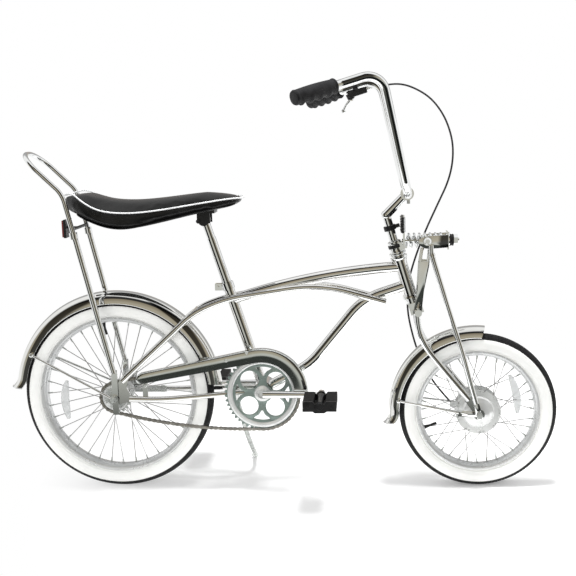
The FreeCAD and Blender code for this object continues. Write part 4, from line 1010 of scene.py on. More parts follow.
    def _ring(self) -> None:
        """The chainring: four round holes, four windows and a raised chrome band."""
        shop = self.shop
        centre = shop.layout.bracket + Vector((0.0, self.line, 0.0))
        place = Matrix.Translation(centre)
        outlines = [self._teeth(self.ring_teeth)]
        for index in range(4):
            turn = 42.0 + 90.0 * index
            outlines.append(arc_points(24.6, 0.0, 345.0, 23, polar(48.6, turn)))
            outlines.append(self._window(turn - 45.0))
        plate = bmesh.new()
        shop.cut_plate(plate, outlines, 2.6, place, 0.4)
        shop.finish(plate, "ring_plate", shop.finishes.ring_plate, Body.CRANK, Slot.CHROME,
                    ("chainring",))
        band = bmesh.new()
        shop.turned(band, [(78.0, -1.0), (91.5, -1.0), (91.5, -2.4), (90.0, -3.8), (86.0, -4.4),
                           (81.0, -4.2), (78.6, -3.2)], place, 96, closed=True)
        shop.turned(band, [(0.0, -1.2), (21.0, -1.2), (21.0, -3.0), (18.0, -4.4), (13.0, -5.0),
                           (12.5, -8.5), (0.0, -8.5)], place, 40)
        shop.finish(band, "ring_band", shop.finishes.hub, Body.CRANK, Slot.CHROME,
                    ("chainring",))

    def _sprocket(self) -> None:
        """The slotted bright disc over the rear sprocket, with its lock ring."""
        shop = self.shop
        place = Matrix.Translation(Vector((0.0, self.line - 3.2, 0.0)))
        outlines = [arc_points(34.5, 0.0, 352.0, 44)]
        for index in range(6):
            middle = 60.0 * index + 14.0
            outer = arc_points(29.5, middle - 18.0, middle + 18.0, 6)
            inner = arc_points(22.5, middle + 18.0, middle - 18.0, 6)
            outlines.append(outer + inner)
        bm = bmesh.new()
        shop.cut_plate(bm, outlines, 2.0, place, 0.4)
        shop.turned(bm, [(6.2, -7.0), (15.0, -7.0), (17.5, -5.0), (19.0, -1.5), (19.0, 0.5),
                         (6.2, 0.5)], place, 40, closed=True)
        shop.finish(bm, "sprocket_disc", shop.finishes.hub, Body.SPROCKET, Slot.ZINC)

    def _guard(self) -> None:
        """The pressed chain guard, with its turned top edge and rounded rear end."""
        shop = self.shop
        bracket = shop.layout.bracket
        outer_reach, inner_reach, rear_end = 120.0, 85.5, 58.0
        top_slope, low_slope = math.radians(11.5), math.radians(10.2)
        high_x, high_z = polar(outer_reach, 101.5)
        low_x, low_z = polar(inner_reach, 100.2)
        pairs = []
        for step in range(26):
            share = step / 25.0
            share = share * share * (3.0 - 2.0 * share) if step < 6 else share
            x = rear_end + (bracket.x + high_x - rear_end) * share
            across = rear_end + (bracket.x + low_x - rear_end) * share
            top = bracket.z + high_z - (bracket.x + high_x - x) * math.tan(top_slope)
            low = bracket.z + low_z - (bracket.x + low_x - across) * math.tan(low_slope)
            pairs.append((Vector((x, 0.0, top)), Vector((across, 0.0, low))))
        for step in range(1, 31):
            share = step / 30.0
            x, z = polar(outer_reach, 101.5 - 99.5 * share)
            across, low = polar(inner_reach, 100.2 - 97.4 * share)
            pairs.append((bracket + Vector((x, 0.0, z)), bracket + Vector((across, 0.0, low))))
        section = ((0.0, -43.5), (0.0, -50.0), (0.02, -53.5), (0.07, -56.2), (0.15, -57.2),
                   (0.30, -57.9), (0.45, -58.1), (0.60, -57.85), (0.75, -57.5),
                   (0.90, -57.1), (1.0, -56.8))
        rings = []
        for high, low in pairs:
            reach = high.x - rear_end
            squeeze = math.sqrt(max(1.0 - (1.0 - reach / 16.0) ** 2, 0.02)) if reach < 16 else 1.0
            rings.append([])
            for share, out in section:
                held = 0.5 + (share - 0.5) * squeeze
                spot = high.lerp(low, held)
                rings[-1].append(Vector((spot.x, out, spot.z)))
        bm = bmesh.new()
        shop.bridged(bm, rings, closed=False)
        shop.finish(bm, "guard_pressing", shop.finishes.guard, Body.FRAME, Slot.CHROME,
                    ("chain_guard",), wall=1.3, sharp=60.0)
        tabs = bmesh.new()
        shop.block(tabs, Vector((82.0, -56.0, 25.0)), (14.0, 2.0, 50.0))
        shop.block(tabs, Vector((352.0, -35.0, 116.0)), (16.0, 43.0, 2.4))
        for x, z in ((82.0, 34.0), (352.0, 119.0), (298.0, 99.0)):
            foot = Vector((x, -57.4, z))
            shop.rod(tabs, foot, foot - Vector((0.0, 2.6, 0.0)), 5.2, 3.8, 16)
        shop.finish(tabs, "guard_tabs", shop.finishes.chrome, Body.FRAME, Slot.CHROME,
                    ("chain_guard",), bevel=0.4)

    def _pedal(self, word: str, side: float, body: Body) -> None:
        """A pedal: two ribbed rubber blocks, waisted end plates, barrel and dust cap."""
        shop = self.shop
        tip = shop.layout.pedals[word]
        rubber = bmesh.new()
        for ahead in (-28.5, 28.5):
            shop.block(rubber, tip + Vector((ahead, side * 62.0, 0.0)), (23.0, 88.0, 21.0))
            for rib in range(11):
                out = side * (21.0 + rib * 8.2)
                shop.block(rubber, tip + Vector((ahead, out, 0.0)), (26.8, 4.6, 24.8))
        shop.block(rubber, tip + Vector((0.0, side * 62.0, -10.0)), (36.0, 86.0, 4.0))
        shop.finish(rubber, f"pedal_{word}_blocks", shop.finishes.rubber, body, Slot.RUBBER,
                    (f"pedal_{word}",), bevel=1.0)
        half = [(0.0, -17.0), (12.0, -17.0), (17.0, -13.0), (42.0, -13.0), (42.0, 12.5),
                (17.0, 12.5), (12.0, 6.0), (0.0, 6.0)]
        outline = half + [(-x, z) for x, z in reversed(half[1:-1])]
        metal = bmesh.new()
        for out in (16.0, 109.0):
            place = Matrix.Translation(tip + Vector((0.0, side * out, 0.0)))
            shop.cut_plate(metal, [outline], 4.0, place)
            for ahead in (-28.5, 28.5):
                spot = tip + Vector((ahead, side * (out + (2.0 if out > 50 else -4.0)), 0.0))
                shop.rod(metal, spot, spot + Vector((0.0, side * 2.0, 0.0)), 4.0, 3.0, 12)
        shop.rod(metal, tip + Vector((0.0, side * 108.0, 0.0)),
                 tip + Vector((0.0, side * 114.0, 0.0)), 11.5, 8.5, 24)
        shop.finish(metal, f"pedal_{word}_plates", shop.finishes.plastic, body, Slot.PLASTIC,
                    (f"pedal_{word}",))
        barrel = bmesh.new()
        profile = [(0.0, 6.5), (5.9, 6.5), (5.9, 11.0), (9.0, 12.0), (9.6, 20.0), (8.0, 34.0),
                   (8.0, 92.0), (9.6, 103.0), (9.6, 108.0), (0.0, 108.0)]
        shop.turned(barrel, [(radius, side * out) for radius, out in profile],
                    Matrix.Translation(tip), 24)
        shop.finish(barrel, f"pedal_{word}_barrel", shop.finishes.plastic, body, Slot.PLASTIC,
                    (f"pedal_{word}",))


# Saddle


@dataclass
class Saddle:
    """The banana seat: a padded vinyl cover with white piping.

    The columns of its stations are: ahead, half width, underside, edge and crown.
    """

    shop: Workshop
    stations: tuple[tuple[float, float, float, float, float], ...] = (
        (-108, 34, 506, 532, 536), (-98, 50, 500, 537, 538), (-86, 59, 494, 539, 538),
        (-70, 78, 488, 536, 537), (-48, 92, 477, 520, 531), (-20, 97, 465, 503, 523),
        (10, 98, 455, 493, 515), (55, 95, 450, 488, 511), (105, 88, 457, 489, 512),
        (170, 79, 471, 496, 518), (240, 69, 486, 506, 526), (300, 60, 497, 514, 529),
        (334, 48, 504, 517, 526), (348, 34, 508, 516, 520),
    )
    inset: float = 1.8
    piping_radius: float = 1.9
    pressure: float = 4.0
    voxel: float = 5.0
    frames: int = 20
    swell_limit: float = 7.0

    def build(self) -> None:
        """Make the cover and its piping."""
        self._cover()
        self._piping()

    def _section(self, row: Sequence[float], inset: float) -> list[Vector]:
        """One section's ring of points: the skirt, the piping line and the crown."""
        ahead, half, low, edge, crown = row
        crown = max(crown, edge + 1.0)
        ring = [Vector((ahead, -half * 0.45, low + inset * 0.5)),
                Vector((ahead, -half + 7.0, low + 2.0)),
                Vector((ahead, -half + 1.5 + inset, (low * 2.0 + edge) / 3.0)),
                Vector((ahead, -half + inset, edge))]
        for share in (-0.72, -0.4, 0.0):
            rise = (crown - edge) * (1.0 - share * share) ** 0.9
            ring.append(Vector((ahead, half * share, edge + rise - inset * 0.4)))
        return ring + [Vector((point.x, -point.y, point.z)) for point in reversed(ring[:-1])]

    def _cover(self) -> None:
        """The padded cover, swelled by a short cloth simulation."""
        shop = self.shop
        bm = bmesh.new()
        shop.bridged(bm, [self._section(row, self.inset) for row in self.stations])
        cover = shop.finish(bm, "seat_cover", shop.finishes.vinyl, Body.FRAME, Slot.VINYL,
                            ("seat",), levels=2)
        self._bake(cover, "SUBSURF")
        self._swell(cover)

    @staticmethod
    def _bake(piece: bpy.types.Object, kind: str) -> None:
        """Apply the piece's modifiers of one kind."""
        bpy.context.view_layer.update()
        graph = bpy.context.evaluated_depsgraph_get()
        mesh = bpy.data.meshes.new_from_object(piece.evaluated_get(graph))
        old = piece.data
        for modifier in [item for item in piece.modifiers if item.type == kind]:
            piece.modifiers.remove(modifier)
        piece.data = mesh
        bpy.data.meshes.remove(old)

    def _swell(self, cover: bpy.types.Object) -> None:
        """Let the padding push the cover out, no further than the limit."""
        remesh = cover.modifiers.new("voxels", "REMESH")
        remesh.mode = "VOXEL"
        remesh.voxel_size = self.voxel * MM
        self._bake(cover, "REMESH")
        start = [vert.co.copy() for vert in cover.data.vertices]
        cloth = cover.modifiers.new("padding", "CLOTH")
        settings = cloth.settings
        settings.use_pressure = True
        settings.uniform_pressure_force = self.pressure
        settings.effector_weights.gravity = 0.0
        settings.tension_stiffness = 40.0
        settings.bending_stiffness = 8.0
        scene = bpy.context.scene
        for number in range(1, self.frames + 1):
            scene.frame_set(number)
        self._bake(cover, "CLOTH")
        scene.frame_set(1)
        limit = self.swell_limit * MM
        for vert, origin in zip(cover.data.vertices, start):
            moved = vert.co - origin
            if moved.length > limit:
                vert.co = origin + moved.normalized() * limit
        for face in cover.data.polygons:
            face.use_smooth = True
        smooth = cover.modifiers.new("subdivide", "SUBSURF")
        smooth.levels = 1
        smooth.render_levels = 1

    def _piping(self) -> None:
        """The white piping along the seam, round both ends."""
        bm = bmesh.new()
        out = self.piping_radius * 0.55
        side = [Vector((row[0], -row[1] - out, row[3] + 1.0)) for row in self.stations]
        rear = Vector((self.stations[0][0] - 5.0, 0.0, self.stations[0][3] + 1.0))
        front = Vector((self.stations[-1][0] + 6.0, 0.0, self.stations[-1][3] + 1.0))
        other = [Vector((point.x, -point.y, point.z)) for point in reversed(side)]
        self.shop.swept(bm, [rear] + side + [front] + other, self.piping_radius, 3, closed=True)
        self.shop.finish(bm, "seat_piping", self.shop.finishes.piping, Body.FRAME, Slot.VINYL)


# Controls


@dataclass
class Controls:
    """Grips, brake lever, cable and front reflector."""

    shop: Workshop
    bar_rise: float = 562.0
    knee_out: float = 238.0
    tip_ahead: float = -112.0
    tip_out: float = 315.0
    grip_length: float = 114.0
    grip_radius: float = 17.0
    cable_width: float = 5.0
    cable_length: float = 1.077

    def build(self) -> None:
        """Make every piece of the controls."""
        self._grips()
        self._lever()
        self._cable()
        self._front_reflector()

    def _grips(self) -> None:
        """Two rubber grips with four finger ridges beneath each."""
        shop = self.shop
        layout = shop.layout
        bm = bmesh.new()
        for side in (-1.0, 1.0):
            knee = layout.steer(-8.0, side * self.knee_out, self.bar_rise)
            tip = layout.steer(self.tip_ahead, side * self.tip_out, self.bar_rise)
            along = (tip - knee).normalized()
            start = tip - along * (self.grip_length - 4.0)
            steps = 56
            profile = [(11.6, 0.0), (17.4, 0.0), (18.4, 2.0), (17.6, 5.0)]
            for step in range(steps + 1):
                share = step / steps
                barrel = self.grip_radius + 1.6 * math.sin(math.pi * share)
                profile.append((barrel, 6.0 + share * (self.grip_length - 14.0)))
            length = self.grip_length
            profile += [(17.4, length - 6.0), (17.8, length - 3.0), (16.2, length + 0.5),
                        (13.0, length + 1.6), (0.0, length + 1.8)]
            turn = along.to_track_quat("Y", "Z").to_matrix().to_4x4()
            verts = shop.turned(bm, profile, Matrix.Translation(start) @ turn, 40)
            down = -layout.steer_up
            ahead = down - along * down.dot(along)
            ahead.normalize()
            for vert in verts:
                spot = vert.co - start
                run = spot.dot(along)
                out = spot - along * run
                if out.length < 15.0 or not 12.0 < run < length - 12.0:
                    continue
                under = max(out.normalized().dot(ahead), 0.0) ** 2
                wave = math.cos((run - 24.0) / 25.0 * 2.0 * math.pi)
                vert.co += out.normalized() * under * max(wave, -0.2) * 3.4
        shop.finish(bm, "bar_grips", shop.finishes.grip, Body.STEERING, Slot.RUBBER, ("grips",))

    def _lever(self) -> None:
        """The brake lever: clamp, body, barrel adjuster and blade."""
        shop = self.shop
        steer = shop.layout.steer
        turn = shop.layout.steer_matrix(Vector())
        body = bmesh.new()
        centre = steer(21.0, 231.0, self.bar_rise - 17.0)
        shop.block(body, centre, (54.0, 19.0, 17.0), turn)
        shop.rod(body, steer(0.0, 233.0, self.bar_rise - 14.0),
                 steer(0.0, 233.0, self.bar_rise - 30.0), 12.0, 9.0, 20)
        shop.rod(body, steer(16.0, 236.0, self.bar_rise), steer(30.0, 231.5, self.bar_rise),
                 16.0, sides=28)
        shop.finish(body, "lever_body", shop.finishes.plastic, Body.STEERING, Slot.PLASTIC,
                    ("brake_lever",), bevel=3.0)
        metal = bmesh.new()
        shop.rod(metal, steer(47.0, 229.0, self.bar_rise - 15.5),
                 steer(58.0, 229.0, self.bar_rise - 15.2), 5.4, sides=16)
        shop.rod(metal, steer(40.0, 229.0, self.bar_rise - 15.0),
                 steer(60.0, 229.0, self.bar_rise - 15.0), 3.4, sides=12)
        blade = [steer(8.0, 236.0, self.bar_rise - 24.0), steer(-6.0, 242.0, self.bar_rise - 33.0),
                 steer(-20.0, 251.0, self.bar_rise - 43.0),
                 steer(-30.0, 258.0, self.bar_rise - 54.0)]
        shop.swept(metal, blade, 4.6, 4)
        shop.ball(metal, blade[-1], 6.4, 8)
        shop.nut(metal, steer(0.0, 233.0, self.bar_rise - 31.0), -shop.layout.steer_up, 9.0, 3.0)
        shop.finish(metal, "lever_blade", shop.finishes.chrome, Body.STEERING, Slot.CHROME,
                    ("brake_lever",))

    def _cable(self) -> None:
        """The brake cable, from the lever down to the front brake."""
        shop = self.shop
        route = (
            (55, 229, 547), (104, 224, 541), (147, 206, 528), (186, 181, 493), (210, 157, 455),
            (224, 130, 399), (220, 102, 330), (188, 79, 260), (128, 58, 196), (80, 44, 143),
            (34, 42, 82), (0, 44, 26), (-20, 48, -38), (-26, 52, -100), (-26, 48, -160),
            (-14, 43, -232), (6, 42, -284), (20, 41.7, -313),
        )
        line = bpy.data.curves.new("cable_line", "CURVE")
        line.dimensions = "3D"
        line.bevel_depth = self.cable_width / 2.0 * MM
        line.bevel_resolution = 5
        line.resolution_u = 12
        line.use_fill_caps = True
        spline = line.splines.new("NURBS")
        spline.points.add(len(route) - 1)
        for knot, (ahead, out, up) in zip(spline.points, route):
            knot.co = (*(shop.layout.to_scene @ shop.layout.steer(ahead, out, up)), 1.0)
        spline.use_endpoint_u = True
        spline.order_u = 3
        cable = bpy.data.objects.new("brake_line", line)
        bpy.context.scene.collection.objects.link(cable)
        line.materials.append(shop.finishes.cable)
        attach(cable, Body.STEERING.value)
        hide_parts("brake_cable")
        leave = shop.layout.to_scene @ shop.layout.steer(*route[0])
        LOG.info("brake_line: %d points", len(route))

    def _front_reflector(self) -> None:
        """The clear reflector on its black bracket round the stem."""
        shop = self.shop
        layout = shop.layout
        turn = layout.steer_matrix(Vector())
        holder = bmesh.new()
        place = layout.steer_matrix(layout.steer(0.0, 0.0, 188.0)) @ Matrix.Rotation(
            math.radians(90.0), 4, "X")
        shop.turned(holder, [(11.4, -6.5), (15.6, -6.5), (15.6, 6.5), (11.4, 6.5)], place, 32,
                    closed=True)
        shop.block(holder, layout.steer(19.0, 0.0, 188.0), (14.0, 13.0, 9.0), turn)
        for row in range(6):
            rise = Vector((-1.0, 0.0, -17.0 + 6.8 * row))
            shop.block(holder, layout.steer(31.5, 0.0, 188.0) + rise, (5.0, 76.0, 3.4))
        shop.block(holder, layout.steer(33.5, 0.0, 188.0), (5.0, 78.0, 41.0))
        shop.finish(holder, "front_reflector_holder", shop.finishes.plastic, Body.STEERING,
                    Slot.PLASTIC, ("front_reflector",), bevel=1.4)
        lens = bmesh.new()
        shop.block(lens, layout.steer(37.5, 0.0, 188.0), (5.0, 74.0, 38.0))
        shop.finish(lens, "front_reflector_lens", shop.finishes.clear_lens, Body.STEERING,
                    Slot.CLEAR, ("front_reflector",), bevel=1.2)


# Springer fork


@dataclass
class Springer:
    """Rocker arms, spring yoke, truss rods, headset and the fork's bolts."""

    shop: Workshop
    head_length: float = 108.0
    pivot_up: float = -36.0
    arm_out: float = 24.0
    yoke_out: float = 28.4
    truss_radius: float = 6.7
    fork_length: float = 336.0
    fork_rake: float = 79.0

    def build(self) -> None:
        """Make every piece of the springer fork."""
        self._arms()
        self._yoke()
        self._trusses()
        self._headset()

    def spring(self, along: float, out: float = 0.0, up: float = 0.0) -> Vector:
        """A point on the horizontal spring bolt's line."""
        return self.shop.layout.steer(27.5, 0.0, 145.0) + Vector((along, out, up))

    def pivot(self, out: float = 0.0) -> Vector:
        """The upper pivot, where the arms meet the yoke."""
        return self.shop.layout.steer(81.0, out, 130.0)

    def _arms(self) -> None:
        """Two channel arms that narrow to straps above their bridge."""
        shop = self.shop
        foot = shop.layout.steer(6.0, 0.0, self.pivot_up)
        head = self.pivot()
        span = (head - foot).length
        edge = [(0.0, 10.0), (0.3, 8.6), (0.66, 13.0), (0.80, 12.6), (1.0, 10.6)]
        window = [(0.71 * span, 7.6), (0.86 * span, 7.2), (0.90 * span, 5.0)]
        window += mirrored(window)
        rail = [(share * span, half) for share, half in edge]
        outline = rail + arc_points(11.0, 55.0, -55.0, 8, (span, 0.0))
        outline += mirrored(rail) + arc_points(12.0, 235.0, 125.0, 8)
        bm = bmesh.new()
        for side in (-1.0, 1.0):
            shop.cut_plate(bm, [outline, window], 4.0,
                           aligned(foot, head, side * self.arm_out), 0.7)
        bridge = foot.lerp(head, 0.668)
        turn = aligned(foot, head)
        turn.translation = Vector()
        shop.block(bm, bridge, (4.0, 2.0 * self.arm_out, 23.0), turn)
        lower = foot.lerp(head, 0.40)
        shop.block(bm, lower, (span * 0.5, 2.0 * self.arm_out, 3.0), turn)
        shop.finish(bm, "fork_arms", shop.finishes.chrome, Body.STEERING, Slot.CHROME,
                    ("rocker_arms",))
        bolts = bmesh.new()
        for side in (-1.0, 1.0):
            out = Vector((0.0, side, 0.0))
            face = foot + out * (self.arm_out + 2.0)
            shop.nut(bolts, face + out * 20.0, out, 17.0, 7.0, 2.5)
        shop.finish(bolts, "fork_arm_nuts", shop.finishes.zinc, Body.STEERING, Slot.ZINC)

    def _yoke(self) -> None:
        """The yoke that the spring pushes on, with its pivot bolts, washers and nut."""
        shop = self.shop
        side_plate = [(40.0, -13.0), (50.0, -18.0), (64.0, -19.0), (108.0, -16.0),
                      (108.0, 16.0), (66.0, 14.0), (48.0, 12.0)]
        side_plate += arc_points(11.0, 110.0, 230.0, 8, (43.0, -2.0))
        bm = bmesh.new()
        for side in (-1.0, 1.0):
            place = Matrix.Translation(self.spring(0.0, side * self.yoke_out))
            shop.cut_plate(bm, [side_plate], 4.0, place, 0.8)
            head = self.pivot(side * (self.yoke_out + 1.5))
            out = Vector((0.0, side, 0.0))
            shop.rod(bm, head, head + out * 3.0, 11.8, 11.0, 32)
            shop.rod(bm, head + out * 3.0, head + out * 6.0, 9.0, 6.0, 32)
        shop.block(bm, self.spring(107.0), (4.0, 60.0, 42.0))
        for along, radius, thick in ((104.0, 17.5, 2.4), (109.2, 20.0, 3.0)):
            shop.rod(bm, self.spring(along), self.spring(along + thick), radius, sides=40)
        shop.rod(bm, self.spring(-8.0), self.spring(137.0), 4.9)
        shop.nut(bm, self.spring(123.5), Vector((1.0, 0.0, 0.0)), 25.0, 9.5)
        shop.finish(bm, "yoke_parts", shop.finishes.chrome, Body.STEERING, Slot.CHROME,
                    ("spring_yoke",))
        washer = bmesh.new()
        turn = Matrix.Translation(self.spring(0.0)) @ Matrix.Rotation(-math.pi / 2, 4, "Z")
        shop.turned(washer, [(5.0, 112.4), (14.0, 112.4), (15.5, 115.0), (14.0, 117.8),
                             (15.5, 120.4), (14.0, 123.0), (5.0, 123.0)], turn, 36, closed=True)
        shop.finish(washer, "yoke_rubber", shop.finishes.rubber, Body.STEERING, Slot.RUBBER,
                    ("spring_yoke",))

    def _trusses(self) -> None:
        """The two long rods from the yoke to the axle, with collars and flat ends."""
        shop = self.shop
        steer = shop.layout.steer
        bm = bmesh.new()
        for side in (-1.0, 1.0):
            points = [steer(86.5, side * 36.4, 118.0), steer(82.5, side * 36.6, 102.0),
                      steer(81.5, side * 36.8, 94.0), steer(81.7, side * 41.5, 0.0),
                      steer(82.0, side * 46.0, -90.0), steer(84.0, side * 52.0, -166.0),
                      steer(80.6, side * 56.0, -250.0), steer(79.8, side * 56.2, -304.0)]
            shop.swept(bm, points, self.truss_radius, 6)
            for up, radius, tall in ((98.0, 8.4, 7.0), (88.0, 7.4, 4.0)):
                low = steer(81.6, side * 36.8, up - tall)
                shop.rod(bm, low, steer(81.6, side * 36.8, up), radius, radius - 0.8, 28)
            eye = steer(self.fork_rake, side * 55.6, -self.fork_length)
            top = Vector((points[-1].x, eye.y, points[-1].z))
            half = [(0.0, 8.0), (24.0, 7.2), (34.0, 5.0), (40.0, 5.0)]
            outline = half + mirrored(half) + arc_points(12.0, 220.0, 140.0, 8)
            shop.cut_plate(bm, [outline], 4.0, aligned(eye, top), 0.7)
        shop.finish(bm, "truss_pair", shop.finishes.chrome, Body.STEERING, Slot.CHROME,
                    ("truss_rod_right", "truss_rod_left"))

    def _headset(self) -> None:
        """Stepped bearing cups at both ends of the head tube, a dark spacer and a lock nut."""
        shop = self.shop
        layout = shop.layout
        place = layout.steer_matrix(layout.steer(0.0, 0.0, 0.0)) @ Matrix.Rotation(
            math.radians(90.0), 4, "X")
        top = self.head_length
        upper = [(17.2, top - 5), (20.0, top - 5), (21.4, top - 2), (22.4, top + 1),
                 (22.4, top + 3.4), (19.4, top + 4.6), (18.6, top + 8), (21.6, top + 9.6),
                 (22.2, top + 12), (21.6, top + 14.4), (18.2, top + 16), (17.0, top + 21),
                 (17.4, top + 26), (12.8, top + 26), (12.8, top + 10), (17.2, top)]
        crown = [(12.8, top + 36.5), (17.4, top + 36.5), (18.0, top + 38), (17.4, top + 43),
                 (14.0, top + 45.5), (11.3, top + 46), (11.3, top + 38)]
        bm = bmesh.new()
        for profile in (upper, crown):
            shop.turned(bm, profile, place, 48, closed=True)
        shop.finish(bm, "headset_cups", shop.finishes.chrome, Body.STEERING, Slot.CHROME)
        low = [(17.2, 7.0), (20.0, 7.0), (21.6, 4.0), (22.2, 1.5), (22.2, 0.6), (17.2, 0.6)]
        lower = bmesh.new()
        shop.turned(lower, low, place, 48, closed=True)
        shop.finish(lower, "lower_cup", shop.finishes.chrome, Body.FRAME, Slot.CHROME)
        spacer = bmesh.new()
        shop.turned(spacer, [(12.8, top + 27), (18.4, top + 27), (18.8, top + 29),
                             (18.8, top + 34), (18.2, top + 36), (12.8, top + 36)],
                    place, 48, closed=True)
        shop.finish(spacer, "headset_spacer", shop.finishes.plastic, Body.STEERING,
                    Slot.PLASTIC)


# Fittings


@dataclass
class Fittings:
    """Fenders with rolled edges and flared tails, their stays, and the rear reflector."""

    shop: Workshop
    bead: float = 1.7
    wall: float = 1.4
    flare: tuple[tuple[float, float], ...] = (
        (0.0, 0.0), (1.2, 0.6), (2.4, 2.2), (3.6, 4.8), (4.8, 8.6), (6.0, 13.4),
    )

    def build(self) -> None:
        """Make every fitting."""
        self._fender("rear", Vector(), 278.0, 30.0, 5.0, 169.5, Body.FRAME)
        centre = self.shop.layout.front_axle + Vector((-5.5, 0.0, -3.5))
        self._fender("front", centre, 227.0, 27.0, 84.0, 181.0, Body.STEERING)
        self._stays()
        self._rear_reflector()

    def _fender(
        self, word: str, centre: Vector, radius: float, half: float, first: float, last: float,
        body: Body,
    ) -> None:
        """One fender: a half-round section led over the wheel, with rolled edges."""
        steps = round((last - first) / 2.5)
        stations = [(first + (last - first) * step / steps, 0.0) for step in range(steps)]
        stations += [(last + turn, lift) for turn, lift in self.flare]
        rings: list[list[Vector]] = []
        edges: dict[float, list[Vector]] = {-1.0: [], 1.0: []}
        for number, (angle, lift) in enumerate(stations):
            middle = radius - half + lift
            rings.append([])
            slant = 7.0 if number == 0 else 0.0
            for step in range(19):
                across = math.radians(-90.0 + 10.0 * step)
                reach = middle + half * math.cos(across)
                back = slant * (1.0 - math.cos(across)) / reach
                x, z = polar(reach, angle + math.degrees(back))
                rings[-1].append(centre + Vector((x, half * math.sin(across), z)))
            for side in (-1.0, 1.0):
                x, z = polar(middle, angle + math.degrees(slant / middle))
                edges[side].append(centre + Vector((x, side * (half - 0.8), z)))
        skin = bmesh.new()
        self.shop.bridged(skin, rings, closed=False)
        self.shop.finish(skin, f"{word}_fender_skin", self.shop.finishes.fender, body,
                         Slot.CHROME, (f"{word}_fender",), wall=self.wall)
        beads = bmesh.new()
        for line in edges.values():
            self.shop.swept(beads, line, self.bead, 3)
        self.shop.swept(beads, rings[-1], self.bead, 3)
        self.shop.finish(beads, f"{word}_fender_beads", self.shop.finishes.chrome, body,
                         Slot.CHROME)

    def _stays(self) -> None:
        """Round stays with bolts, at the rear and the front; the front ones have flattened ends."""
        shop = self.shop
        axle = shop.layout.front_axle
        x, z = polar(203.0, 170.0)
        front = axle + Vector((x - 5.5, 0.0, z - 3.5))
        for word, anchor, half, end, body in (
            ("rear", Vector((-225.0, 0.0, 113.0)), 33.0, Vector((-8.0, 67.4, 3.5)), Body.FRAME),
            ("front", front, 30.2, axle + Vector((-30.0, 52.0, 3.0)), Body.STEERING),
        ):
            bm = bmesh.new()
            for side in (-1.0, 1.0):
                start = Vector((anchor.x, side * half, anchor.z))
                stop = Vector((end.x, side * end.y, end.z))
                shop.rod(bm, start.lerp(stop, 0.03), stop, 3.3, sides=20)
                out = Vector((0.0, side, 0.0))
                shop.nut(bm, start - out * 3.0, out, 11.0, 7.0, 2.0)
                if body is Body.STEERING:
                    plate = [(-14.0, -6.5), (26.0, -6.5), (26.0, 6.5), (-14.0, 6.5)]
                    shop.cut_plate(bm, [plate], 2.4, aligned(stop, axle), 0.4)
            shop.finish(bm, f"{word}_stay_rods", shop.finishes.chrome, body, Slot.CHROME)

    def _rear_reflector(self) -> None:
        """The red reflector in its housing on the rod between the hoop's legs."""
        shop = self.shop
        housing = bmesh.new()
        shop.block(housing, Vector((-115.0, 0.0, 446.0)), (7.0, 60.0, 48.0))
        shop.block(housing, Vector((-98.0, 0.0, 448.0)), (30.0, 14.0, 4.0))
        shop.rod(housing, Vector((-84.0, -66.0, 448.0)), Vector((-84.0, 66.0, 448.0)), 4.0)
        shop.finish(housing, "rear_reflector_housing", shop.finishes.plastic, Body.FRAME,
                    Slot.PLASTIC, ("rear_reflector",), bevel=1.5)
        lens = bmesh.new()
        shop.block(lens, Vector((-120.0, 0.0, 446.0)), (6.0, 56.0, 44.0))
        shop.finish(lens, "rear_reflector_lens", shop.finishes.red_lens, Body.FRAME, Slot.RED,
                    ("rear_reflector",), bevel=1.6)


# Carried over nodes


def dress_nodes(nodes: dict[str, bpy.types.Object], finishes: Finishes) -> None:
    """Give every visible node of the frame its finish.

    Args:
        nodes: The frame's nodes by name.
        finishes: The materials.
    """
    groups: dict[str, tuple[str, ...]] = {
        "frame_chrome": ("head_tube", "seat_tube", "top_tube", "down_tube",
                         "cantilever_tube_right", "cantilever_tube_left", "chain_stay_right",
                         "chain_stay_left", "frame_bridges", "bottom_bracket"),
        "spoke": ("rear_spokes", "front_spokes"),
        "hub": ("rear_hub", "front_hub", "brake_plate"),
        "zinc": ("rear_axle", "front_axle", "coaster_arm", "rear_sprocket",
                 "kickstand", "kickstand_bracket"),
        "plastic": ("seat_pan", "seat_clamp"),
    }
    by_node = {node: name for name, members in groups.items() for node in members}
    for node, piece in nodes.items():
        material = getattr(finishes, by_node.get(node, "chrome"))
        for place in piece.material_slots:
            place.material = material


# Studio


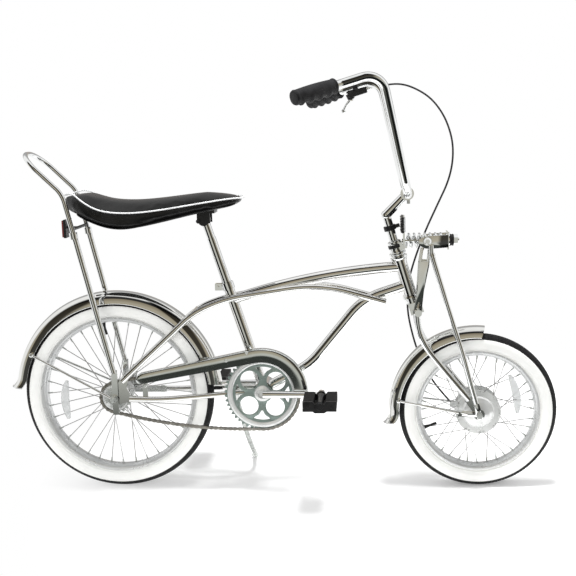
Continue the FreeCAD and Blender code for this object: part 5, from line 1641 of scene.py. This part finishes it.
@dataclass
class Studio:
    """Camera, floor, lamps and surroundings, at the photograph's viewpoint."""

    layout: Layout
    eye: Point = (672.37, -2629.71, 706.61)
    yaw: float = -0.0807
    pitch: float = 0.1612
    roll: float = 0.0282
    lens_mm: float = 64.158
    floor_size: float = 30.0
    floor_front: float = -0.8
    floor_middle: Point = (0.47, 0.0, 0.0)
    fade_from: float = 0.75
    fade_to: float = 1.15
    floor_lift: float = 0.16
    daylight: float = 0.64
    depth_bands: tuple[tuple[float, float], ...] = (
        (0.0, 0.0), (0.33, 0.0), (0.48, 1.0), (0.72, 1.0), (0.86, 0.45), (1.0, 0.38),
    )
    side_bands: tuple[tuple[float, float], ...] = (
        (0.0, 1.0), (0.06, 0.9), (0.09, 0.10), (0.27, 0.10), (0.34, 1.0), (0.575, 1.0),
        (0.62, 0.10), (0.84, 0.12), (0.93, 1.0),
    )
    front_bands: tuple[tuple[float, Colour], ...] = (
        (0.00, (0.90, 0.91, 0.92)), (0.05, (0.80, 0.82, 0.84)), (0.10, (0.14, 0.14, 0.12)),
        (0.22, (0.05, 0.055, 0.05)), (0.395, (0.04, 0.045, 0.04)), (0.43, (0.54, 0.55, 0.51)),
        (0.48, (0.56, 0.56, 0.51)), (0.56, (0.46, 0.42, 0.33)), (0.82, (0.30, 0.26, 0.19)),
        (0.86, (0.03, 0.03, 0.03)), (0.945, (0.03, 0.03, 0.03)), (0.97, (0.9, 0.9, 0.9)),
    )

    def build(self) -> None:
        """Set up the whole studio."""
        self._camera()
        self._floor()
        self._lamps()
        self._surroundings()
        bpy.context.scene.view_settings.view_transform = "Standard"

    def _camera(self) -> None:
        """The camera, which keeps the photograph's view of the leaning bicycle."""
        yaw, pitch, roll = self.yaw, self.pitch, self.roll
        ahead = Vector((math.sin(yaw) * math.cos(pitch), math.cos(yaw) * math.cos(pitch),
                        -math.sin(pitch)))
        level = Vector((math.cos(yaw), -math.sin(yaw), 0.0))
        down = ahead.cross(level)
        right = level * math.cos(roll) + down * math.sin(roll)
        drop = down * math.cos(roll) - level * math.sin(roll)
        columns = Matrix([list(right), list(-drop), list(-ahead)]).transposed()
        lean = self.layout.to_scene.to_3x3().normalized()
        place = (lean @ columns).to_4x4()
        place.translation = self.layout.to_scene @ Vector(self.eye)
        data = bpy.data.cameras.new("photo_camera")
        data.lens = self.lens_mm
        data.sensor_width = 36.0
        data.clip_end = 60.0
        camera = bpy.data.objects.new("photo_camera", data)
        camera.matrix_world = place
        bpy.context.scene.collection.objects.link(camera)
        bpy.context.scene.camera = camera

    def _floor(self) -> None:
        """A white floor that keeps the bicycle's shadow."""
        bm = bmesh.new()
        bmesh.ops.create_grid(bm, x_segments=1, y_segments=1, size=self.floor_size / 2.0)
        bmesh.ops.translate(bm, vec=(0.0, self.floor_size / 2.0 + self.floor_front, 0.0),
                            verts=bm.verts)
        mesh = bpy.data.meshes.new("studio_floor")
        bm.to_mesh(mesh)
        bm.free()
        floor = bpy.data.objects.new("studio_floor", mesh)
        bpy.context.scene.collection.objects.link(floor)
        material = bpy.data.materials.new("studio_floor")
        material.use_nodes = True
        tree = material.node_tree
        tree.nodes.clear()
        output = tree.nodes.new("ShaderNodeOutputMaterial")
        matt = tree.nodes.new("ShaderNodeBsdfDiffuse")
        matt.inputs["Color"].default_value = (0.92, 0.92, 0.92, 1.0)
        lift = tree.nodes.new("ShaderNodeEmission")
        path = tree.nodes.new("ShaderNodeLightPath")
        seen = tree.nodes.new("ShaderNodeMath")
        seen.operation = "MAXIMUM"
        tree.links.new(path.outputs["Is Camera Ray"], seen.inputs[0])
        tree.links.new(path.outputs["Is Glossy Ray"], seen.inputs[1])
        amount = tree.nodes.new("ShaderNodeMath")
        amount.operation = "MULTIPLY"
        amount.inputs[1].default_value = self.floor_lift
        tree.links.new(seen.outputs[0], amount.inputs[0])
        tree.links.new(amount.outputs[0], lift.inputs["Strength"])
        both = tree.nodes.new("ShaderNodeAddShader")
        tree.links.new(matt.outputs[0], both.inputs[0])
        tree.links.new(lift.outputs[0], both.inputs[1])
        coords = tree.nodes.new("ShaderNodeTexCoord")
        reach = tree.nodes.new("ShaderNodeVectorMath")
        reach.operation = "DISTANCE"
        reach.inputs[1].default_value = self.floor_middle
        tree.links.new(coords.outputs["Object"], reach.inputs[0])
        fade = tree.nodes.new("ShaderNodeMapRange")
        fade.inputs["From Min"].default_value = self.fade_from
        fade.inputs["From Max"].default_value = self.fade_to
        tree.links.new(reach.outputs["Value"], fade.inputs["Value"])
        far = tree.nodes.new("ShaderNodeMath")
        far.operation = "MULTIPLY"
        tree.links.new(fade.outputs["Result"], far.inputs[0])
        tree.links.new(seen.outputs[0], far.inputs[1])
        white = tree.nodes.new("ShaderNodeEmission")
        blend = tree.nodes.new("ShaderNodeMixShader")
        tree.links.new(far.outputs[0], blend.inputs[0])
        tree.links.new(both.outputs[0], blend.inputs[1])
        tree.links.new(white.outputs[0], blend.inputs[2])
        tree.links.new(blend.outputs[0], output.inputs["Surface"])
        mesh.materials.append(material)

    def _lamps(self) -> None:
        """Two broad soft lamps: one overhead, one from the front left."""
        for name, spot, aim, watts, size in (
            ("overhead", (0.45, 0.0, 3.2), (0.45, 0.0, 0.3), 92.0, 0.6),
            ("front", (-1.6, -3.4, 1.7), (0.0, 0.0, 0.4), 46.0, 2.2),
        ):
            data = bpy.data.lights.new(name, "AREA")
            data.energy = watts
            data.size = size
            lamp = bpy.data.objects.new(name, data)
            lamp.location = spot
            lamp.visible_glossy = False
            way = Vector(aim) - Vector(spot)
            lamp.rotation_euler = way.to_track_quat("-Z", "Y").to_euler()
            bpy.context.scene.collection.objects.link(lamp)

    @staticmethod
    def _ramp(
        tree: bpy.types.NodeTree,
        value: bpy.types.NodeSocket,
        stops: Sequence[tuple[float, float | Colour]],
    ) -> bpy.types.NodeSocket:
        """Colour by one direction axis, from minus one at the first stop to one at the last."""
        spread = tree.nodes.new("ShaderNodeMapRange")
        spread.inputs["From Min"].default_value = -1.0
        tree.links.new(value, spread.inputs["Value"])
        bands = tree.nodes.new("ShaderNodeValToRGB")
        ramp = bands.color_ramp
        ramp.interpolation = "EASE"
        while len(ramp.elements) < len(stops):
            ramp.elements.new(0.5)
        for element, (position, colour) in zip(ramp.elements, stops):
            element.position = position
            element.color = (colour, colour, colour, 1.0) if isinstance(colour, float) else (
                *colour, 1.0)
        tree.links.new(spread.outputs["Result"], bands.inputs["Fac"])
        return bands.outputs["Color"]

    def _surroundings(self) -> None:
        """White behind the bicycle and above it, dark and olive bands in front for the chrome."""
        world = bpy.data.worlds.new("studio")
        bpy.context.scene.world = world
        world.use_nodes = True
        tree = world.node_tree
        tree.nodes.clear()
        new = tree.nodes.new
        output = new("ShaderNodeOutputWorld")
        plain = new("ShaderNodeBackground")
        plain.inputs["Color"].default_value = (1.0, 1.0, 1.0, 1.0)
        plain.inputs["Strength"].default_value = self.daylight
        seen = new("ShaderNodeBackground")
        seen.inputs["Color"].default_value = (1.0, 1.0, 1.0, 1.0)
        seen.inputs["Strength"].default_value = 1.0
        room = new("ShaderNodeBackground")
        room.inputs["Strength"].default_value = 1.0
        coords = new("ShaderNodeTexCoord")
        axes = new("ShaderNodeSeparateXYZ")
        tree.links.new(coords.outputs["Generated"], axes.inputs["Vector"])
        front = self._ramp(tree, axes.outputs["Z"], self.front_bands)
        sides = self._ramp(tree, axes.outputs["X"], self.side_bands)
        behind = self._ramp(tree, axes.outputs["Y"], self.depth_bands)
        darker = new("ShaderNodeMix")
        darker.data_type = "RGBA"
        darker.blend_type = "MULTIPLY"
        darker.inputs[0].default_value = 1.0
        tree.links.new(front, darker.inputs[6])
        tree.links.new(sides, darker.inputs[7])
        around = new("ShaderNodeMix")
        around.data_type = "RGBA"
        around.blend_type = "LIGHTEN"
        around.inputs[0].default_value = 1.0
        tree.links.new(darker.outputs[2], around.inputs[6])
        tree.links.new(behind, around.inputs[7])
        tree.links.new(around.outputs[2], room.inputs["Color"])
        path = new("ShaderNodeLightPath")
        glossy = new("ShaderNodeMixShader")
        tree.links.new(path.outputs["Is Glossy Ray"], glossy.inputs[0])
        tree.links.new(plain.outputs[0], glossy.inputs[1])
        tree.links.new(room.outputs[0], glossy.inputs[2])
        camera = new("ShaderNodeMixShader")
        tree.links.new(path.outputs["Is Camera Ray"], camera.inputs[0])
        tree.links.new(glossy.outputs[0], camera.inputs[1])
        tree.links.new(seen.outputs[0], camera.inputs[2])
        tree.links.new(camera.outputs[0], output.inputs["Surface"])


# Assembly


def wheels(shop: Workshop) -> list[Wheel]:
    """The two wheels with their own sizes."""
    rear = Wheel(shop, "rear", Body.REAR_WHEEL, Vector(), 255.0, 26.0, 203.0, 64.0, 33.0, 30.0,
                 100.0, 149.0, 186.0, 176, reflector_lean=-6.0)
    front = Wheel(shop, "front", Body.FRONT_WHEEL, shop.layout.front_axle.copy(), 203.5, 23.5,
                  152.5, 64.0, 58.0, 24.0, 199.0, 108.0, 24.0, 140, reflector_lean=-13.0)
    return [rear, front]


def main() -> None:
    """Dress the whole bicycle and write how large it has become."""
    logging.basicConfig(level=logging.INFO, format="%(message)s")
    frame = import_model()
    layout = Layout.from_record(frame["record"])
    finishes = Finishes.build()
    Studio(layout).build()
    shop = Workshop(layout, finishes)
    dress_nodes(frame["nodes"], finishes)
    for maker in (Controls(shop), *wheels(shop), Drive(shop), Springer(shop), Saddle(shop),
                  Fittings(shop)):
        maker.build()
    LOG.info("pieces made: %d", len(shop.made))


if __name__ == "__main__":
    main()
